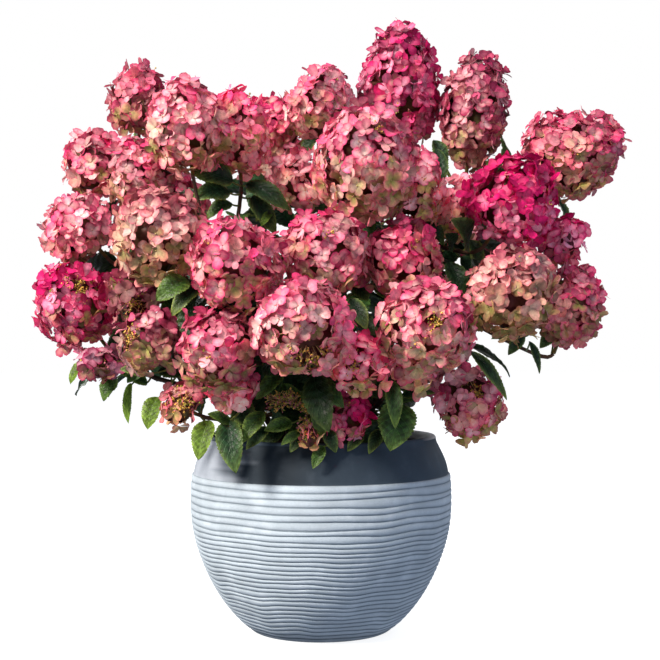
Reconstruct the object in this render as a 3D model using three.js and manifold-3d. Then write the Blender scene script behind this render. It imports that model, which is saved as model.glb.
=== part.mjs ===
// A panicle hydrangea in a ribbed ball planter.
// Millimetres, +Z up, the front of the plant towards -Y, the origin in the middle of the pot's foot.
import * as THREE from 'three';
import { mergeVertices } from 'three/addons/utils/BufferGeometryUtils.js';
import Module from 'manifold-3d';

const wasm = await Module();
wasm.setup();

// Pot
const POT_OUTLINE = [
  [97, 0], [119, 18], [147, 53], [171, 100], [185, 147], [188.5, 195], [184, 241], [168, 277],
]; // outer radius and height, from the foot to the lip
const POT_HEIGHT = 284;
const POT_WALL = 10;
const POT_FLOOR = 12;
const POT_SIDES = 24;
const BAND_FOOT = 229;
const RIDGE_COUNT = 13;
const RIDGE_PROUD = 2.2;
const RIDGE_WAVE = 3.2;
const LIP_DROP = 5; // how far below the top the lip begins to turn in
const LIP_TURN = 3;
const INSIDE_LEVELS = [12, 60, 150, 276]; // the inside wall runs straight between these heights
const DRAIN_HOLES = 4;
const DRAIN_RADIUS = 7;
const DRAIN_CIRCLE = 52;
const DRAIN_SIDES = 8;
const GAP = 0.3;

// Potting mix
const SOIL_TOP = 248;
const SOIL_BUMP = 5;
const SOIL_EDGE = 8; // how far the soil lies lower at the wall
const SOIL_RINGS = [0.86, 0.45];
const SOIL_MOUND = 4;
const HOLE_FLOOR = 150;
const COLLAR_RISE = 11; // a cane starts to lean this far above the soil

// Stems
const CANE_RADIUS = 6.5;
const TWIG_RADIUS = 4;
const NECK_RADIUS = 2.8;
const CANE_STEPS = 4;
const TWIG_STEPS = 3;
const CANE_SIDES = 4;
const TWIG_SIDES = 3;
const CANE_SWEEP = 0.4;
const TWIG_SWEEP = 0.34;

// Flower heads
const HEAD_SPRING = [0, 0, 200]; // the heads point away from this place in the crown
const HEAD_TAPER = 0.16;
const HEAD_SKIRT = 143; // degrees from the tip down to the lowest florets
const CROWN_EDGE = [62, 47, 38]; // degrees from the tip to the first row, for one, two or three rows
const ROW_TWIST = 0.2;
const FLORET_RELIEF = 10;
const FLORET_RELIEF_MOST = 0.26;
const FLORET_JITTER = { polar: 0.07, turn: 0.09, depth: 0.15, twist: 0.16, petal: 0.035 };
const HEART_SHARE = 0.55; // a floret's middle lies this share of the relief below its petals
const PETAL_SPREAD = 0.7;
const SMALL_HEAD = 50; // a head of a smaller radius has fewer florets round it
const NECK_LENGTH = 5;
const NECK_HALF = 4;

// Leaves
const LEAF_THICK = 2.2;
const LEAF_FOLD = 0.28;
const LEAF_ARCH = 0.1;
const LEAF_DROOP = 0.35;
const LEAF_EDGE = [[0.13, 0.7], [0.4, 1], [0.49, 0.8], [0.76, 0.62]]; // share of length and half width
const LEAF_WAIST = 0.45;
const STALK_HALF = 1.5;
const STALK_LENGTH = 13;
const LEAF_LENGTH = 84;
const LEAF_WIDTH = 44;
const BLADE_START = [0.04, 0.1];
const LEAF_CLEAR = 2.5;
const STEM_CLEAR = 0.5;
const MELD = 0.2; // edges this short, where a leaf runs into its stem, are melded

// The place from which the plant was measured: a level eye in front of the pot
const EYE = { across: 13, height: 437, distance: 2054, middle: 330, scale: 1.467 };

// Flower heads: name, seen at x and y, depth behind the pot's axis, radius, half height, floret rows,
// tone, and where wanted the way the head points
const HEADS = [
  ['01', 139, 101, 40, 48, 60, 2, 'rose', [0.02, -0.1, 1]],
  ['02', 186, 125, -130, 54, 65, 2, 'pale', [-0.1, -0.35, 0.93]],
  ['03', 238, 133, -60, 46, 62, 2, 'rose', [-0.05, -0.2, 0.97]],
  ['04', 276, 128, 85, 40, 54, 1, 'rose', [0, 0, 1]],
  ['05', 95, 163, 0, 49, 55, 2, 'rose'],
  ['06', 141, 173, -65, 48, 50, 2, 'rose'],
  ['07', 79, 227, -58, 55, 52, 2, 'pale'],
  ['08', 159, 235, -180, 62, 64, 2, 'green'],
  ['09', 75, 304, -76, 57, 70, 2, 'magenta', [-0.5, -0.4, 0.77]],
  ['10', 234, 262, -238, 57, 62, 2, 'rose'],
  ['11', 321, 104, 5, 51, 62, 2, 'pale', [0.05, -0.1, 0.99]],
  ['12', 400, 85, 60, 61, 106, 3, 'magenta', [0.02, -0.05, 1]],
  ['13', 475, 112, 45, 54, 96, 3, 'dusky', [0.14, 0, 0.99]],
  ['14', 364, 163, -150, 69, 76, 3, 'pale', [0.05, -0.45, 0.9]],
  ['15', 416, 188, -65, 35, 56, 2, 'dusky', [0.1, -0.2, 0.97]],
  ['16', 572, 153, 0, 65, 82, 3, 'rose', [0.93, -0.1, 0.32]],
  ['17', 514, 201, -90, 63, 66, 2, 'magenta'],
  ['18', 562, 240, 0, 37, 42, 1, 'magenta'],
  ['19', 512, 292, -155, 58, 65, 2, 'green'],
  ['20', 572, 307, -20, 50, 68, 2, 'rose', [0.35, -0.1, 0.93]],
  ['21', 429, 326, -230, 61, 60, 2, 'pale', [0.38, -0.9, 0.22]],
  ['22', 303, 324, -262, 63, 63, 2, 'pale'],
  ['23', 324, 252, -180, 57, 57, 2, 'rose'],
  ['24', 403, 260, -140, 54, 56, 2, 'rose'],
  ['25', 217, 348, -240, 53, 46, 2, 'rose', [-0.35, -0.9, 0.2]],
  ['26', 134, 294, -121, 33, 42, 1, 'dusky'],
  ['27', 149, 341, -155, 44, 42, 2, 'dusky'],
  ['28', 358, 363, -215, 39, 36, 1, 'rose'],
  ['29', 232, 389, -185, 34, 26, 1, 'dusky'],
  ['30', 348, 416, -165, 31, 32, 1, 'magenta'],
  ['31', 469, 403, -80, 48, 53, 2, 'dusky', [0.1, -0.35, -0.93]],
  ['32', 180, 404, -165, 33, 25, 1, 'green'],
  ['33', 413, 371, -165, 34, 22, 1, 'pale'],
  ['34', 457, 210, -20, 32, 48, 1, 'dusky'],
  ['35', 297, 182, -10, 36, 48, 1, 'dusky'],
  ['36', 98, 364, -112, 25, 37, 1, 'magenta', [-0.9, -0.35, -0.05]],
  ['37', 309, 436, -188, 14, 24, 1, 'green', [0, -0.6, -0.8]],
  ['38', 172, 205, 130, 58, 60, 2, 'rose'],
  ['39', 275, 165, 195, 58, 62, 2, 'pale'],
  ['40', 392, 168, 180, 58, 62, 2, 'rose'],
  ['41', 488, 232, 130, 57, 58, 2, 'magenta'],
  ['42', 122, 302, 105, 55, 57, 2, 'rose'],
  ['43', 252, 298, 235, 58, 60, 2, 'pale'],
  ['44', 346, 250, 260, 60, 62, 2, 'rose'],
  ['45', 432, 304, 225, 57, 58, 2, 'pale'],
  ['46', 520, 293, 100, 50, 54, 2, 'magenta'],
  ['47', 300, 368, 225, 52, 48, 2, 'dusky'],
];

// Stems: name, place in the potting mix, the head that the cane ends in, and for each side branch
// its head and how far up the cane it leaves
const CANES = [
  ['01', [-64, -4], '09', [['36', 0.3], ['26', 0.55], ['42', 0.4]]],
  ['02', [-46, 36], '01', [['05', 0.66], ['07', 0.5], ['38', 0.42]]],
  ['03', [-56, -40], '06', [['08', 0.5], ['27', 0.3]]],
  ['04', [-26, -66], '10', [['25', 0.42], ['32', 0.12], ['29', 0.2]]],
  ['05', [14, -64], '23', [['22', 0.4], ['30', 0.06], ['37', 0.03]]],
  ['06', [-18, -10], '02', [['03', 0.6], ['04', 0.56], ['35', 0.5]]],
  ['07', [12, 22], '12', [['11', 0.5], ['14', 0.42], ['39', 0.36]]],
  ['08', [42, 24], '13', [['15', 0.5], ['40', 0.36]]],
  ['09', [72, 0], '16', [['17', 0.6], ['18', 0.66], ['20', 0.46, 0.14], ['34', 0.36], ['41', 0.5], ['46', 0.4]]],
  ['10', [52, -42], '19', [['21', 0.42], ['24', 0.5], ['28', 0.22], ['33', 0.16], ['31', 0.3]]],
  ['11', [0, 62], '44', [['43', 0.42], ['45', 0.5], ['47', 0.2]]],
];

// Leaves that stand clear of the heads: cane, blade's foot and tip as seen and their depths, width
const OPEN_LEAVES = [
  ['03', [188, 280, -215], [156, 301, -235], 36],
  ['03', [198, 286, -178], [171, 314, -200], 28],
  ['01', [117, 380, -78], [102, 403, -88], 22],
  ['01', [147, 384, -60], [118, 372, -85], 22],
  ['01', [131, 383, -40], [128, 424, -50], 16],
  ['03', [158, 397, -120], [147, 429, -135], 30],
  ['04', [209, 420, -170], [198, 460, -190], 32],
  ['04', [228, 420, -180], [235, 472, -215], 36],
  ['04', [263, 412, -180], [242, 441, -200], 26],
  ['05', [292, 423, -170], [264, 431, -185], 22],
  ['05', [323, 446, -178], [313, 469, -192], 18],
  ['05', [312, 379, -185], [344, 407, -200], 30],
  ['10', [391, 381, -196], [396, 427, -225], 24],
  ['10', [404, 402, -160], [391, 450, -190], 48],
  ['10', [470, 351, -120], [507, 400, -130], 20],
  ['10', [436, 388, -60], [399, 402, -75], 20],
  ['09', [523, 332, -60], [508, 355, -70], 20],
  ['09', [529, 341, -40], [539, 374, -50], 14],
  ['08', [436, 149, -10], [441, 187, -25], 26],
  ['06', [246, 184, -55], [290, 208, -75], 32],
  ['05', [353, 299, -210], [363, 331, -232], 22],
  ['01', [84, 362, -10], [70, 384, -15], 20],
];

// Leaf pairs below the heads: distance from the head, and what is tried for each leaf in turn
const PAIR_DISTANCES = [34];
const PAIR_HEAD = 55; // only heads of this radius or more have a pair
const PAIR_TURNS = [0, 24, -24, 48, -48, 72, -72];
const PAIR_TILTS = [22, -8, 48];
const PAIR_SIZES = [1, 0.78];

const TONES = {
  pale: 0xe58c9d,
  rose: 0xd4587c,
  magenta: 0xc22a63,
  dusky: 0xa2475f,
  green: 0xcf8a7e,
};

// A repeatable draw of numbers between 0 and 1
class Draw {
  constructor(seed) {
    this.state = (seed * 2654435 + 97) % 4294967296;
  }

  next() {
    this.state = (this.state * 1664525 + 1013904223) % 4294967296;
    return this.state / 4294967296;
  }

  spread(reach) {
    return (this.next() * 2 - 1) * reach;
  }
}

const vector = (list) => new THREE.Vector3(...list);
const radians = (degrees) => (degrees * Math.PI) / 180;

// A point, a distance along a direction from another
function step(from, direction, distance) {
  return from.clone().addScaledVector(direction, distance);
}

// The place of something seen at x and y, at a known depth
function seen(x, y, depth) {
  const scale = EYE.scale * (1 + depth / EYE.distance);
  return new THREE.Vector3(
    EYE.across + (x - EYE.middle) * scale,
    depth,
    EYE.height - (y - EYE.middle) * scale,
  );
}

// Two directions square to a third, right-handed with it
function squareTo(axis) {
  const helper = Math.abs(axis.z) < 0.9 ? new THREE.Vector3(0, 0, 1) : new THREE.Vector3(1, 0, 0);
  const side = helper.clone().cross(axis).normalize();
  return [side, axis.clone().cross(side)];
}

// A solid from points and triangles that share their corners
function solidFrom(points, faces) {
  const vertProperties = new Float32Array(points.flatMap((point) => [point.x, point.y, point.z]));
  const triVerts = new Uint32Array(faces.flat());
  return new wasm.Manifold(new wasm.Mesh({ numProp: 3, vertProperties, triVerts }));
}

// A solid from a closed three.js geometry
function solidFromGeometry(geometry) {
  const bare = geometry.clone();
  bare.deleteAttribute('normal');
  bare.deleteAttribute('uv');
  const merged = mergeVertices(bare, 1e-4);
  return new wasm.Manifold(new wasm.Mesh({
    numProp: 3,
    vertProperties: new Float32Array(merged.attributes.position.array),
    triVerts: new Uint32Array(merged.index.array),
  }));
}

// The named mesh of a finished solid
function meshOf(name, solid, color, roughness) {
  const { vertProperties, triVerts } = solid.getMesh();
  const geometry = new THREE.BufferGeometry();
  geometry.setAttribute('position', new THREE.BufferAttribute(vertProperties, 3));
  geometry.setIndex(new THREE.BufferAttribute(triVerts, 1));
  geometry.computeVertexNormals();
  const material = new THREE.MeshStandardMaterial({ color, roughness, metalness: 0, flatShading: true });
  const mesh = new THREE.Mesh(geometry, material);
  mesh.name = name;
  return mesh;
}

// A solid of rings of points, closed by a middle point at each end
function ringSolid(start, rings, end) {
  const sides = rings[0].length;
  const points = [start, ...rings.flat(), end];
  const faces = [];
  const at = (ring, index) => 1 + ring * sides + (index % sides);
  for (let index = 0; index < sides; index += 1) {
    faces.push([0, at(0, index + 1), at(0, index)]);
    for (let ring = 0; ring + 1 < rings.length; ring += 1) {
      faces.push([at(ring, index), at(ring, index + 1), at(ring + 1, index + 1)]);
      faces.push([at(ring, index), at(ring + 1, index + 1), at(ring + 1, index)]);
    }
    const last = rings.length - 1;
    faces.push([points.length - 1, at(last, index), at(last, index + 1)]);
  }
  return solidFrom(points, faces);
}

// A ring of points round the pot's axis, its height a function of the turn
function wavyRing(radius, height) {
  return Array.from({ length: POT_SIDES }, (_, index) => {
    const turn = (index / POT_SIDES) * Math.PI * 2;
    return new THREE.Vector3(Math.cos(turn) * radius, Math.sin(turn) * radius, height(turn));
  });
}

const levelRing = (radius, height) => wavyRing(radius, () => height);

// The pot's outline as a smooth curve of radius over height
const potCurve = new THREE.CatmullRomCurve3(
  POT_OUTLINE.map(([radius, height]) => new THREE.Vector3(radius, height, 0)),
);
const potSamples = potCurve.getPoints(200);

function potRadius(height) {
  const after = potSamples.findIndex((sample) => sample.y >= height);
  if (after < 1) {
    return after === 0 ? potSamples[0].x : potSamples[potSamples.length - 1].x;
  }
  const [low, high] = [potSamples[after - 1], potSamples[after]];
  return low.x + ((high.x - low.x) * (height - low.y)) / (high.y - low.y);
}

// How far a ridge wanders up and down on its way round, more so low on the pot
function ridgeWave(turn, height) {
  const low = 1 - height / BAND_FOOT;
  const reach = RIDGE_WAVE * (0.15 + 0.85 * Math.min(1, low * 1.6));
  const calm = Math.min(1, height / 30);
  return reach * calm * (0.6 * Math.sin(2 * turn + height / 31) + 0.4 * Math.sin(5 * turn - height / 23));
}

// The inside radius of the pot, with straight wall between a few levels
function insideRadius(height) {
  const after = Math.max(1, INSIDE_LEVELS.findIndex((level) => level >= height));
  const [low, high] = [INSIDE_LEVELS[after - 1], INSIDE_LEVELS[after]];
  const share = (height - low) / (high - low);
  return potRadius(low) + (potRadius(high) - potRadius(low)) * share - POT_WALL;
}

function potSolid() {
  const rings = [levelRing(potRadius(0), 0)];
  const pitch = BAND_FOOT / RIDGE_COUNT;
  for (let ridge = 0; ridge < RIDGE_COUNT; ridge += 1) {
    const crest = pitch * (ridge + 0.55);
    const valley = pitch * (ridge + 1);
    rings.push(wavyRing(potRadius(crest) + RIDGE_PROUD, (turn) => crest + ridgeWave(turn, crest)));
    const last = ridge === RIDGE_COUNT - 1;
    rings.push(wavyRing(potRadius(valley), (turn) => valley + (last ? 0 : ridgeWave(turn, valley))));
  }
  const bandMiddle = (BAND_FOOT + POT_HEIGHT) / 2;
  rings.push(levelRing(potRadius(bandMiddle), bandMiddle));
  rings.push(levelRing(potRadius(POT_HEIGHT - LIP_DROP), POT_HEIGHT - LIP_DROP));
  rings.push(levelRing(potRadius(POT_HEIGHT) - LIP_TURN, POT_HEIGHT));
  rings.push(levelRing(potRadius(POT_HEIGHT) - POT_WALL + LIP_TURN, POT_HEIGHT));
  INSIDE_LEVELS.slice().reverse().forEach((level) => rings.push(levelRing(insideRadius(level), level)));
  let solid = ringSolid(new THREE.Vector3(0, 0, 0), rings, new THREE.Vector3(0, 0, POT_FLOOR));
  for (let hole = 0; hole < DRAIN_HOLES; hole += 1) {
    const turn = ((hole + 0.5) / DRAIN_HOLES) * Math.PI * 2;
    const cutter = new THREE.CylinderGeometry(DRAIN_RADIUS, DRAIN_RADIUS, POT_FLOOR * 3, DRAIN_SIDES);
    cutter.rotateX(Math.PI / 2);
    cutter.translate(Math.cos(turn) * DRAIN_CIRCLE, Math.sin(turn) * DRAIN_CIRCLE, POT_FLOOR / 2);
    solid = solid.subtract(solidFromGeometry(cutter));
  }
  return solid;
}

function soilSolid() {
  const draw = new Draw(7);
  const rings = [];
  const bottom = POT_FLOOR + GAP;
  const edge = SOIL_TOP - SOIL_EDGE;
  const levels = [bottom, ...INSIDE_LEVELS.filter((level) => level > bottom && level < edge), edge];
  levels.forEach((level) => rings.push(levelRing(insideRadius(level) - GAP * 1.2, level)));
  SOIL_RINGS.forEach((share) => {
    rings.push(wavyRing(insideRadius(SOIL_TOP) * share, () => SOIL_TOP + draw.spread(SOIL_BUMP)));
  });
  const summit = new THREE.Vector3(0, 0, SOIL_TOP + SOIL_MOUND);
  let solid = ringSolid(new THREE.Vector3(0, 0, bottom), rings, summit);
  CANES.forEach(([, [x, y]]) => {
    const radius = CANE_RADIUS + GAP / Math.cos(Math.PI / CANE_SIDES);
    const points = [vector([x, y, HOLE_FLOOR]), vector([x, y, POT_HEIGHT])];
    solid = solid.subtract(tubeSolid(points, [radius, radius], CANE_SIDES));
  });
  return solid;
}

// A tapering stem along a list of points, its end square to the way it points
function tubeSolid(points, radii, sides, way = new THREE.Vector3(0, 0, 1)) {
  const count = points.length;
  let across = new THREE.Vector3(1, 0, 0);
  const rings = points.map((point, index) => {
    const before = points[Math.max(0, index - 1)];
    const last = index === count - 1;
    const along = last ? way.clone() : points[index + 1].clone().sub(before).normalize();
    across = across.clone().addScaledVector(along, -across.dot(along)).normalize();
    const upright = along.clone().cross(across);
    return Array.from({ length: sides }, (_, corner) => {
      const turn = (corner / sides) * Math.PI * 2;
      const sideways = step(point, across, Math.cos(turn) * radii[index]);
      return sideways.addScaledVector(upright, Math.sin(turn) * radii[index]);
    });
  });
  const flat = rings.flat();
  const faces = [];
  for (let corner = 0; corner < sides; corner += 1) {
    const next = (corner + 1) % sides;
    for (let ring = 0; ring + 1 < count; ring += 1) {
      const [low, high] = [ring * sides, (ring + 1) * sides];
      faces.push([low + corner, low + next, high + next]);
      faces.push([low + corner, high + next, high + corner]);
    }
    if (corner > 0 && corner < sides - 1) {
      const top = (count - 1) * sides;
      faces.push([0, corner + 1, corner]);
      faces.push([top, top + corner, top + corner + 1]);
    }
  }
  return solidFrom(flat, faces);
}

// A flower head with its place, its way and its sizes
function headFrom([name, x, y, depth, radius, half, rows, tone, way], index) {
  const centre = seen(x, y, depth);
  const axis = way ? vector(way).normalize() : centre.clone().sub(vector(HEAD_SPRING)).normalize();
  const neck = step(centre, axis, -(half + NECK_LENGTH));
  return { name, centre, axis, neck, radius, half, rows, tone, seed: index + 1 };
}

// A dome or cone of four-petalled florets that share their low corners, on a short neck:
// three or four florets round the tip, and rows of twice as many below them
function headSolid(head) {
  const draw = new Draw(head.seed + 100);
  const crown = head.radius < SMALL_HEAD ? 3 : 4;
  const columns = crown * 2;
  const [side, front] = squareTo(head.axis);
  const relief = Math.min(FLORET_RELIEF / head.radius, FLORET_RELIEF_MOST);
  const jitter = FLORET_JITTER;
  const points = [];
  const faces = [];
  const add = (way, factor) => {
    const wide = head.radius * (1 - HEAD_TAPER * way.z) * factor;
    const point = step(head.centre, head.axis, head.half * way.z * factor);
    point.addScaledVector(side, way.x * wide).addScaledVector(front, way.y * wide);
    points.push(point);
    return { index: points.length - 1, way };
  };
  const wayOf = (polar, turn) => new THREE.Vector3(
    Math.sin(polar) * Math.cos(turn),
    Math.sin(polar) * Math.sin(turn),
    Math.cos(polar),
  );
  const first = radians(CROWN_EDGE[head.rows - 1]);
  const last = radians(HEAD_SKIRT);
  const top = add(wayOf(radians(3), draw.next() * 6), 1 - relief);
  const corners = Array.from({ length: columns }, (_, corner) => corner);
  const rings = Array.from({ length: head.rows + 1 }, (_, ring) => corners.map((corner) => {
    const polar = first + ((last - first) * ring) / head.rows + draw.spread(jitter.polar);
    const turn = (corner / columns) * Math.PI * 2 + draw.spread(jitter.turn) + ring * ROW_TWIST;
    return add(wayOf(polar, turn), 1 - relief * (1 + draw.spread(jitter.depth)));
  }));
  const floret = (around) => {
    const middle = around.reduce((sum, corner) => sum.add(corner.way), new THREE.Vector3()).normalize();
    const heart = add(middle, 1 - relief * HEART_SHARE);
    const twist = draw.spread(jitter.twist);
    around.forEach((corner, index) => {
      const next = around[(index + 1) % around.length];
      const edge = corner.way.clone().lerp(next.way, 0.5 + twist);
      const way = middle.clone().lerp(edge, PETAL_SPREAD).normalize();
      const petal = add(way, 1 + draw.spread(jitter.petal));
      faces.push([heart.index, corner.index, petal.index]);
      faces.push([corner.index, next.index, petal.index]);
      faces.push([next.index, heart.index, petal.index]);
    });
  };
  for (let corner = 0; corner < columns; corner += 2) {
    floret([top, rings[0][corner], rings[0][corner + 1], rings[0][(corner + 2) % columns]]);
  }
  for (let ring = 0; ring < head.rows; ring += 1) {
    for (let corner = 0; corner < columns; corner += 1) {
      const next = (corner + 1) % columns;
      floret([rings[ring][corner], rings[ring + 1][corner], rings[ring + 1][next], rings[ring][next]]);
    }
  }
  const skirt = rings[head.rows].map((corner) => corner.index);
  const necks = Array.from({ length: crown }, (_, corner) => {
    const turn = (corner / crown) * Math.PI * 2 + head.rows * ROW_TWIST;
    const point = step(head.neck, side, Math.cos(turn) * NECK_HALF);
    points.push(point.addScaledVector(front, Math.sin(turn) * NECK_HALF));
    return points.length - 1;
  });
  necks.forEach((neck, index) => {
    const [one, two, three] = [skirt[2 * index], skirt[2 * index + 1], skirt[(2 * index + 2) % columns]];
    const next = necks[(index + 1) % crown];
    faces.push([one, neck, two], [two, neck, next], [two, next, three]);
  });
  for (let corner = 1; corner + 1 < crown; corner += 1) {
    faces.push([necks[0], necks[corner + 1], necks[corner]]);
  }
  return solidFrom(points, faces);
}

// The curve from a starting point and way to a head's neck
function stemCurve(start, way, head, reach) {
  const end = step(head.neck, head.axis, -GAP);
  const span = start.distanceTo(end) * reach;
  return new THREE.CubicBezierCurve3(start, step(start, way, span), step(end, head.axis, -span), end);
}

// A stem as a chain of straight lengths along its curve
function chainOf(curve, steps, head) {
  return { curve, head, points: curve.getPoints(steps) };
}

// A place on a stem's chain and the way it runs there
function onChain({ curve, points }, share) {
  const place = share * (points.length - 1);
  const low = Math.min(Math.floor(place), points.length - 2);
  return [points[low].clone().lerp(points[low + 1], place - low), curve.getTangent(share)];
}

// A cane with its side branches: the chains that they follow, and the stems round them
function caneFrom([name, [x, y], leader, branches], heads) {
  const foot = vector([x, y, HOLE_FLOOR + GAP]);
  const collar = vector([x, y, SOIL_TOP + COLLAR_RISE]);
  const upright = new THREE.Vector3(0, 0, 1);
  const main = chainOf(stemCurve(collar, upright, heads[leader], CANE_SWEEP), CANE_STEPS, leader);
  const twigs = branches.map(([head, share, sweep = TWIG_SWEEP]) => {
    const curve = stemCurve(...onChain(main, share), heads[head], sweep);
    return chainOf(curve, TWIG_STEPS, head);
  });
  const radii = [CANE_RADIUS, ...taper(CANE_RADIUS, CANE_STEPS)];
  const solids = [
    tubeSolid([foot, ...main.points], radii, CANE_SIDES, heads[leader].axis),
    ...twigs.map((twig) => tubeSolid(
      twig.points,
      taper(TWIG_RADIUS, TWIG_STEPS),
      TWIG_SIDES,
      heads[twig.head].axis,
    )),
  ];
  return { name, chains: [main, ...twigs], solids, solid: wasm.Manifold.union(solids) };
}

// Radii from a stem's foot to its neck
function taper(from, steps) {
  return Array.from({ length: steps + 1 }, (_, place) => from + ((NECK_RADIUS - from) * place) / steps);
}

// A pointed, toothed leaf on its stalk, thick along its rib and thin at its edge
function leafSolid({ root, base, tip, up, width }, grow = 0) {
  const length = base.distanceTo(tip);
  const along = tip.clone().sub(base).normalize();
  const side = along.clone().cross(up).normalize();
  const over = side.clone().cross(along);
  const stalk = base.clone().sub(root).normalize();
  const mitre = stalk.clone().add(along).normalize();
  const sideFoot = step(side, mitre, -side.dot(mitre)).normalize();
  const sideRoot = step(sideFoot, stalk, -sideFoot.dot(stalk)).normalize();
  const thick = LEAF_THICK / 2 + grow * 0.5;
  const place = (share, wide, lift) => {
    const arch = LEAF_ARCH * 4 * share * (1 - share) * length;
    const point = step(step(base, along, share * (length + grow)), side, wide);
    return point.addScaledVector(over, arch + lift + Math.abs(wide) * LEAF_FOLD);
  };
  const half = width / 2 + grow;
  const points = [];
  const add = (point) => points.push(point) - 1;
  const chain = (sign) => [
    add(step(root, sideRoot, sign * STALK_HALF)),
    add(step(base, sideFoot, sign * STALK_HALF)),
    ...LEAF_EDGE.map(([share, wide]) => add(place(share, sign * wide * half, 0))),
  ];
  const [left, right] = [chain(-1), chain(1)];
  const point = add(place(1, 0, 0));
  const spine = (sign) => [
    add(step(root, sideRoot.clone().cross(stalk), sign * STALK_HALF)),
    add(step(base, sideFoot.clone().cross(mitre), sign * STALK_HALF)),
    add(place(LEAF_WAIST, 0, sign * thick)),
    point,
  ];
  const [top, bottom] = [spine(1), spine(-1)];
  left.push(point);
  right.push(point);
  const edgeShares = [-1, 0, ...LEAF_EDGE.map(([share]) => share), 1];
  const spineShares = [-1, 0, LEAF_WAIST, 1];
  const faces = [];
  const strip = (edge, middle, flip) => {
    let [one, two] = [0, 0];
    while (one < edge.length - 1 || two < middle.length - 1) {
      const edgeNext = one < edge.length - 1 ? edgeShares[one + 1] : Infinity;
      const spineNext = two < middle.length - 1 ? spineShares[two + 1] : Infinity;
      const stepsEdge = edgeNext <= spineNext;
      const third = stepsEdge ? edge[one + 1] : middle[two + 1];
      const face = [edge[one], middle[two], third];
      if (new Set(face).size === 3) {
        faces.push(flip ? [face[0], face[2], face[1]] : face);
      }
      one += stepsEdge ? 1 : 0;
      two += stepsEdge ? 0 : 1;
    }
  };
  strip(left, top, false);
  strip(right, top, true);
  strip(left, bottom, true);
  strip(right, bottom, false);
  faces.push([left[0], right[0], top[0]], [left[0], bottom[0], right[0]]);
  return solidFrom(points, faces);
}

// The part of a leaf that must stay clear of its own stems: the blade without its stalk
function bladeOf(leaf) {
  const [root, base] = BLADE_START.map((share) => leaf.base.clone().lerp(leaf.tip, share));
  return { ...leaf, root, base };
}

// Whether two solids share space
function meets(one, two) {
  const [a, b] = [one.boundingBox(), two.boundingBox()];
  const apart = [0, 1, 2].some((axis) => a.min[axis] > b.max[axis] || b.min[axis] > a.max[axis]);
  return !apart && !one.intersect(two).isEmpty();
}

// An open leaf, its stalk led to the nearest stem of its cane
function openLeaf([, foot, tipSeen, width], cane) {
  const base = seen(...foot);
  const tip = seen(...tipSeen);
  const shares = Array.from({ length: 37 }, (_, place) => (place + 2) / 40);
  const samples = cane.chains.flatMap((chain) => shares.map((share) => onChain(chain, share)[0]));
  const cost = (point) => point.distanceTo(base) + Math.max(0, point.z - base.z) * 0.5;
  const root = samples.reduce((best, point) => (cost(point) < cost(best) ? point : best));
  const outward = new THREE.Vector3(base.x, base.y - 260, 220).normalize();
  return { root, base, tip, up: outward, width };
}

// The leaf on one side of a stem's joint, at one of the angles and sizes that may be tried
function pairLeaf(chain, share, turn, tilt, size) {
  const [root, along] = onChain(chain, share);
  const [side, front] = squareTo(along);
  const out = side.multiplyScalar(Math.cos(turn)).addScaledVector(front, Math.sin(turn));
  const way = out.multiplyScalar(Math.cos(radians(tilt))).addScaledVector(along, Math.sin(radians(tilt)));
  const base = step(root, way, STALK_LENGTH);
  const droop = step(way, new THREE.Vector3(0, 0, -1), LEAF_DROOP).normalize();
  const tip = step(base, droop, LEAF_LENGTH * size);
  return { root, base, tip, up: along, width: LEAF_WIDTH * size };
}

const heads = Object.fromEntries(HEADS.map(headFrom).map((head) => [head.name, head]));
const headSolids = Object.values(heads).map(headSolid);
const canes = CANES.map((row) => caneFrom(row, heads));
const pot = potSolid();
const soil = soilSolid();
const leaves = [];

// Whether a leaf's place is free of everything but its own cane's stems
function isFree(leaf, cane) {
  const wide = leafSolid(leaf, LEAF_CLEAR);
  const others = canes.filter((other) => other !== cane).map((other) => other.solid);
  const blocked = [pot, soil, ...headSolids, ...others].some((other) => meets(wide, other));
  if (blocked) {
    return false;
  }
  const blade = leafSolid(bladeOf(leaf), STEM_CLEAR);
  const own = cane.solids.some((stem) => meets(blade, stem));
  return !own && !leaves.some((grown) => meets(grown.cane === cane ? blade : wide, grown.solid));
}

function growLeaf(leaf, cane) {
  leaves.push({ cane, solid: leafSolid(leaf) });
}

OPEN_LEAVES.forEach((row) => {
  const cane = canes.find(({ name }) => name === row[0]);
  const leaf = openLeaf(row, cane);
  if (isFree(leaf, cane)) {
    growLeaf(leaf, cane);
  }
});

PAIR_DISTANCES.forEach((distance) => {
  canes.forEach((cane) => cane.chains.forEach((chain) => {
    const share = 1 - distance / chain.curve.getLength();
    if (share < 0.15 || heads[chain.head].radius < PAIR_HEAD) {
      return;
    }
    const draw = new Draw(Number(chain.head) * 10 + distance);
    const start = draw.next() * Math.PI * 2;
    [0, Math.PI].forEach((half) => {
      const tries = PAIR_SIZES.flatMap((size) => PAIR_TILTS.flatMap((tilt) => PAIR_TURNS.map(
        (turn) => pairLeaf(chain, share, start + half + radians(turn), tilt, size),
      )));
      const leaf = tries.find((option) => isFree(option, cane));
      if (leaf) {
        growLeaf(leaf, cane);
      }
    });
  }));
});

const model = new THREE.Group();
model.add(meshOf('pot', pot, 0xa9b6c6, 0.75));
model.add(meshOf('potting_mix', soil, 0x3a2c22, 0.95));
canes.forEach((cane) => {
  const own = leaves.filter((leaf) => leaf.cane === cane).map((leaf) => leaf.solid);
  const grown = wasm.Manifold.union([cane.solid, ...own]).simplify(MELD);
  model.add(meshOf(`cane_${cane.name}`, grown, 0x3f6a2c, 0.6));
});
Object.values(heads).forEach((head, index) => {
  model.add(meshOf(`bloom_${head.name}`, headSolids[index], TONES[head.tone], 0.7));
});

export default model;
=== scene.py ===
"""A panicle hydrangea in a ribbed ball planter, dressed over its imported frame.

Lengths are millimetres until a mesh is made, when they turn to metres. +Z is up and -Y is the front.
"""

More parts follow.
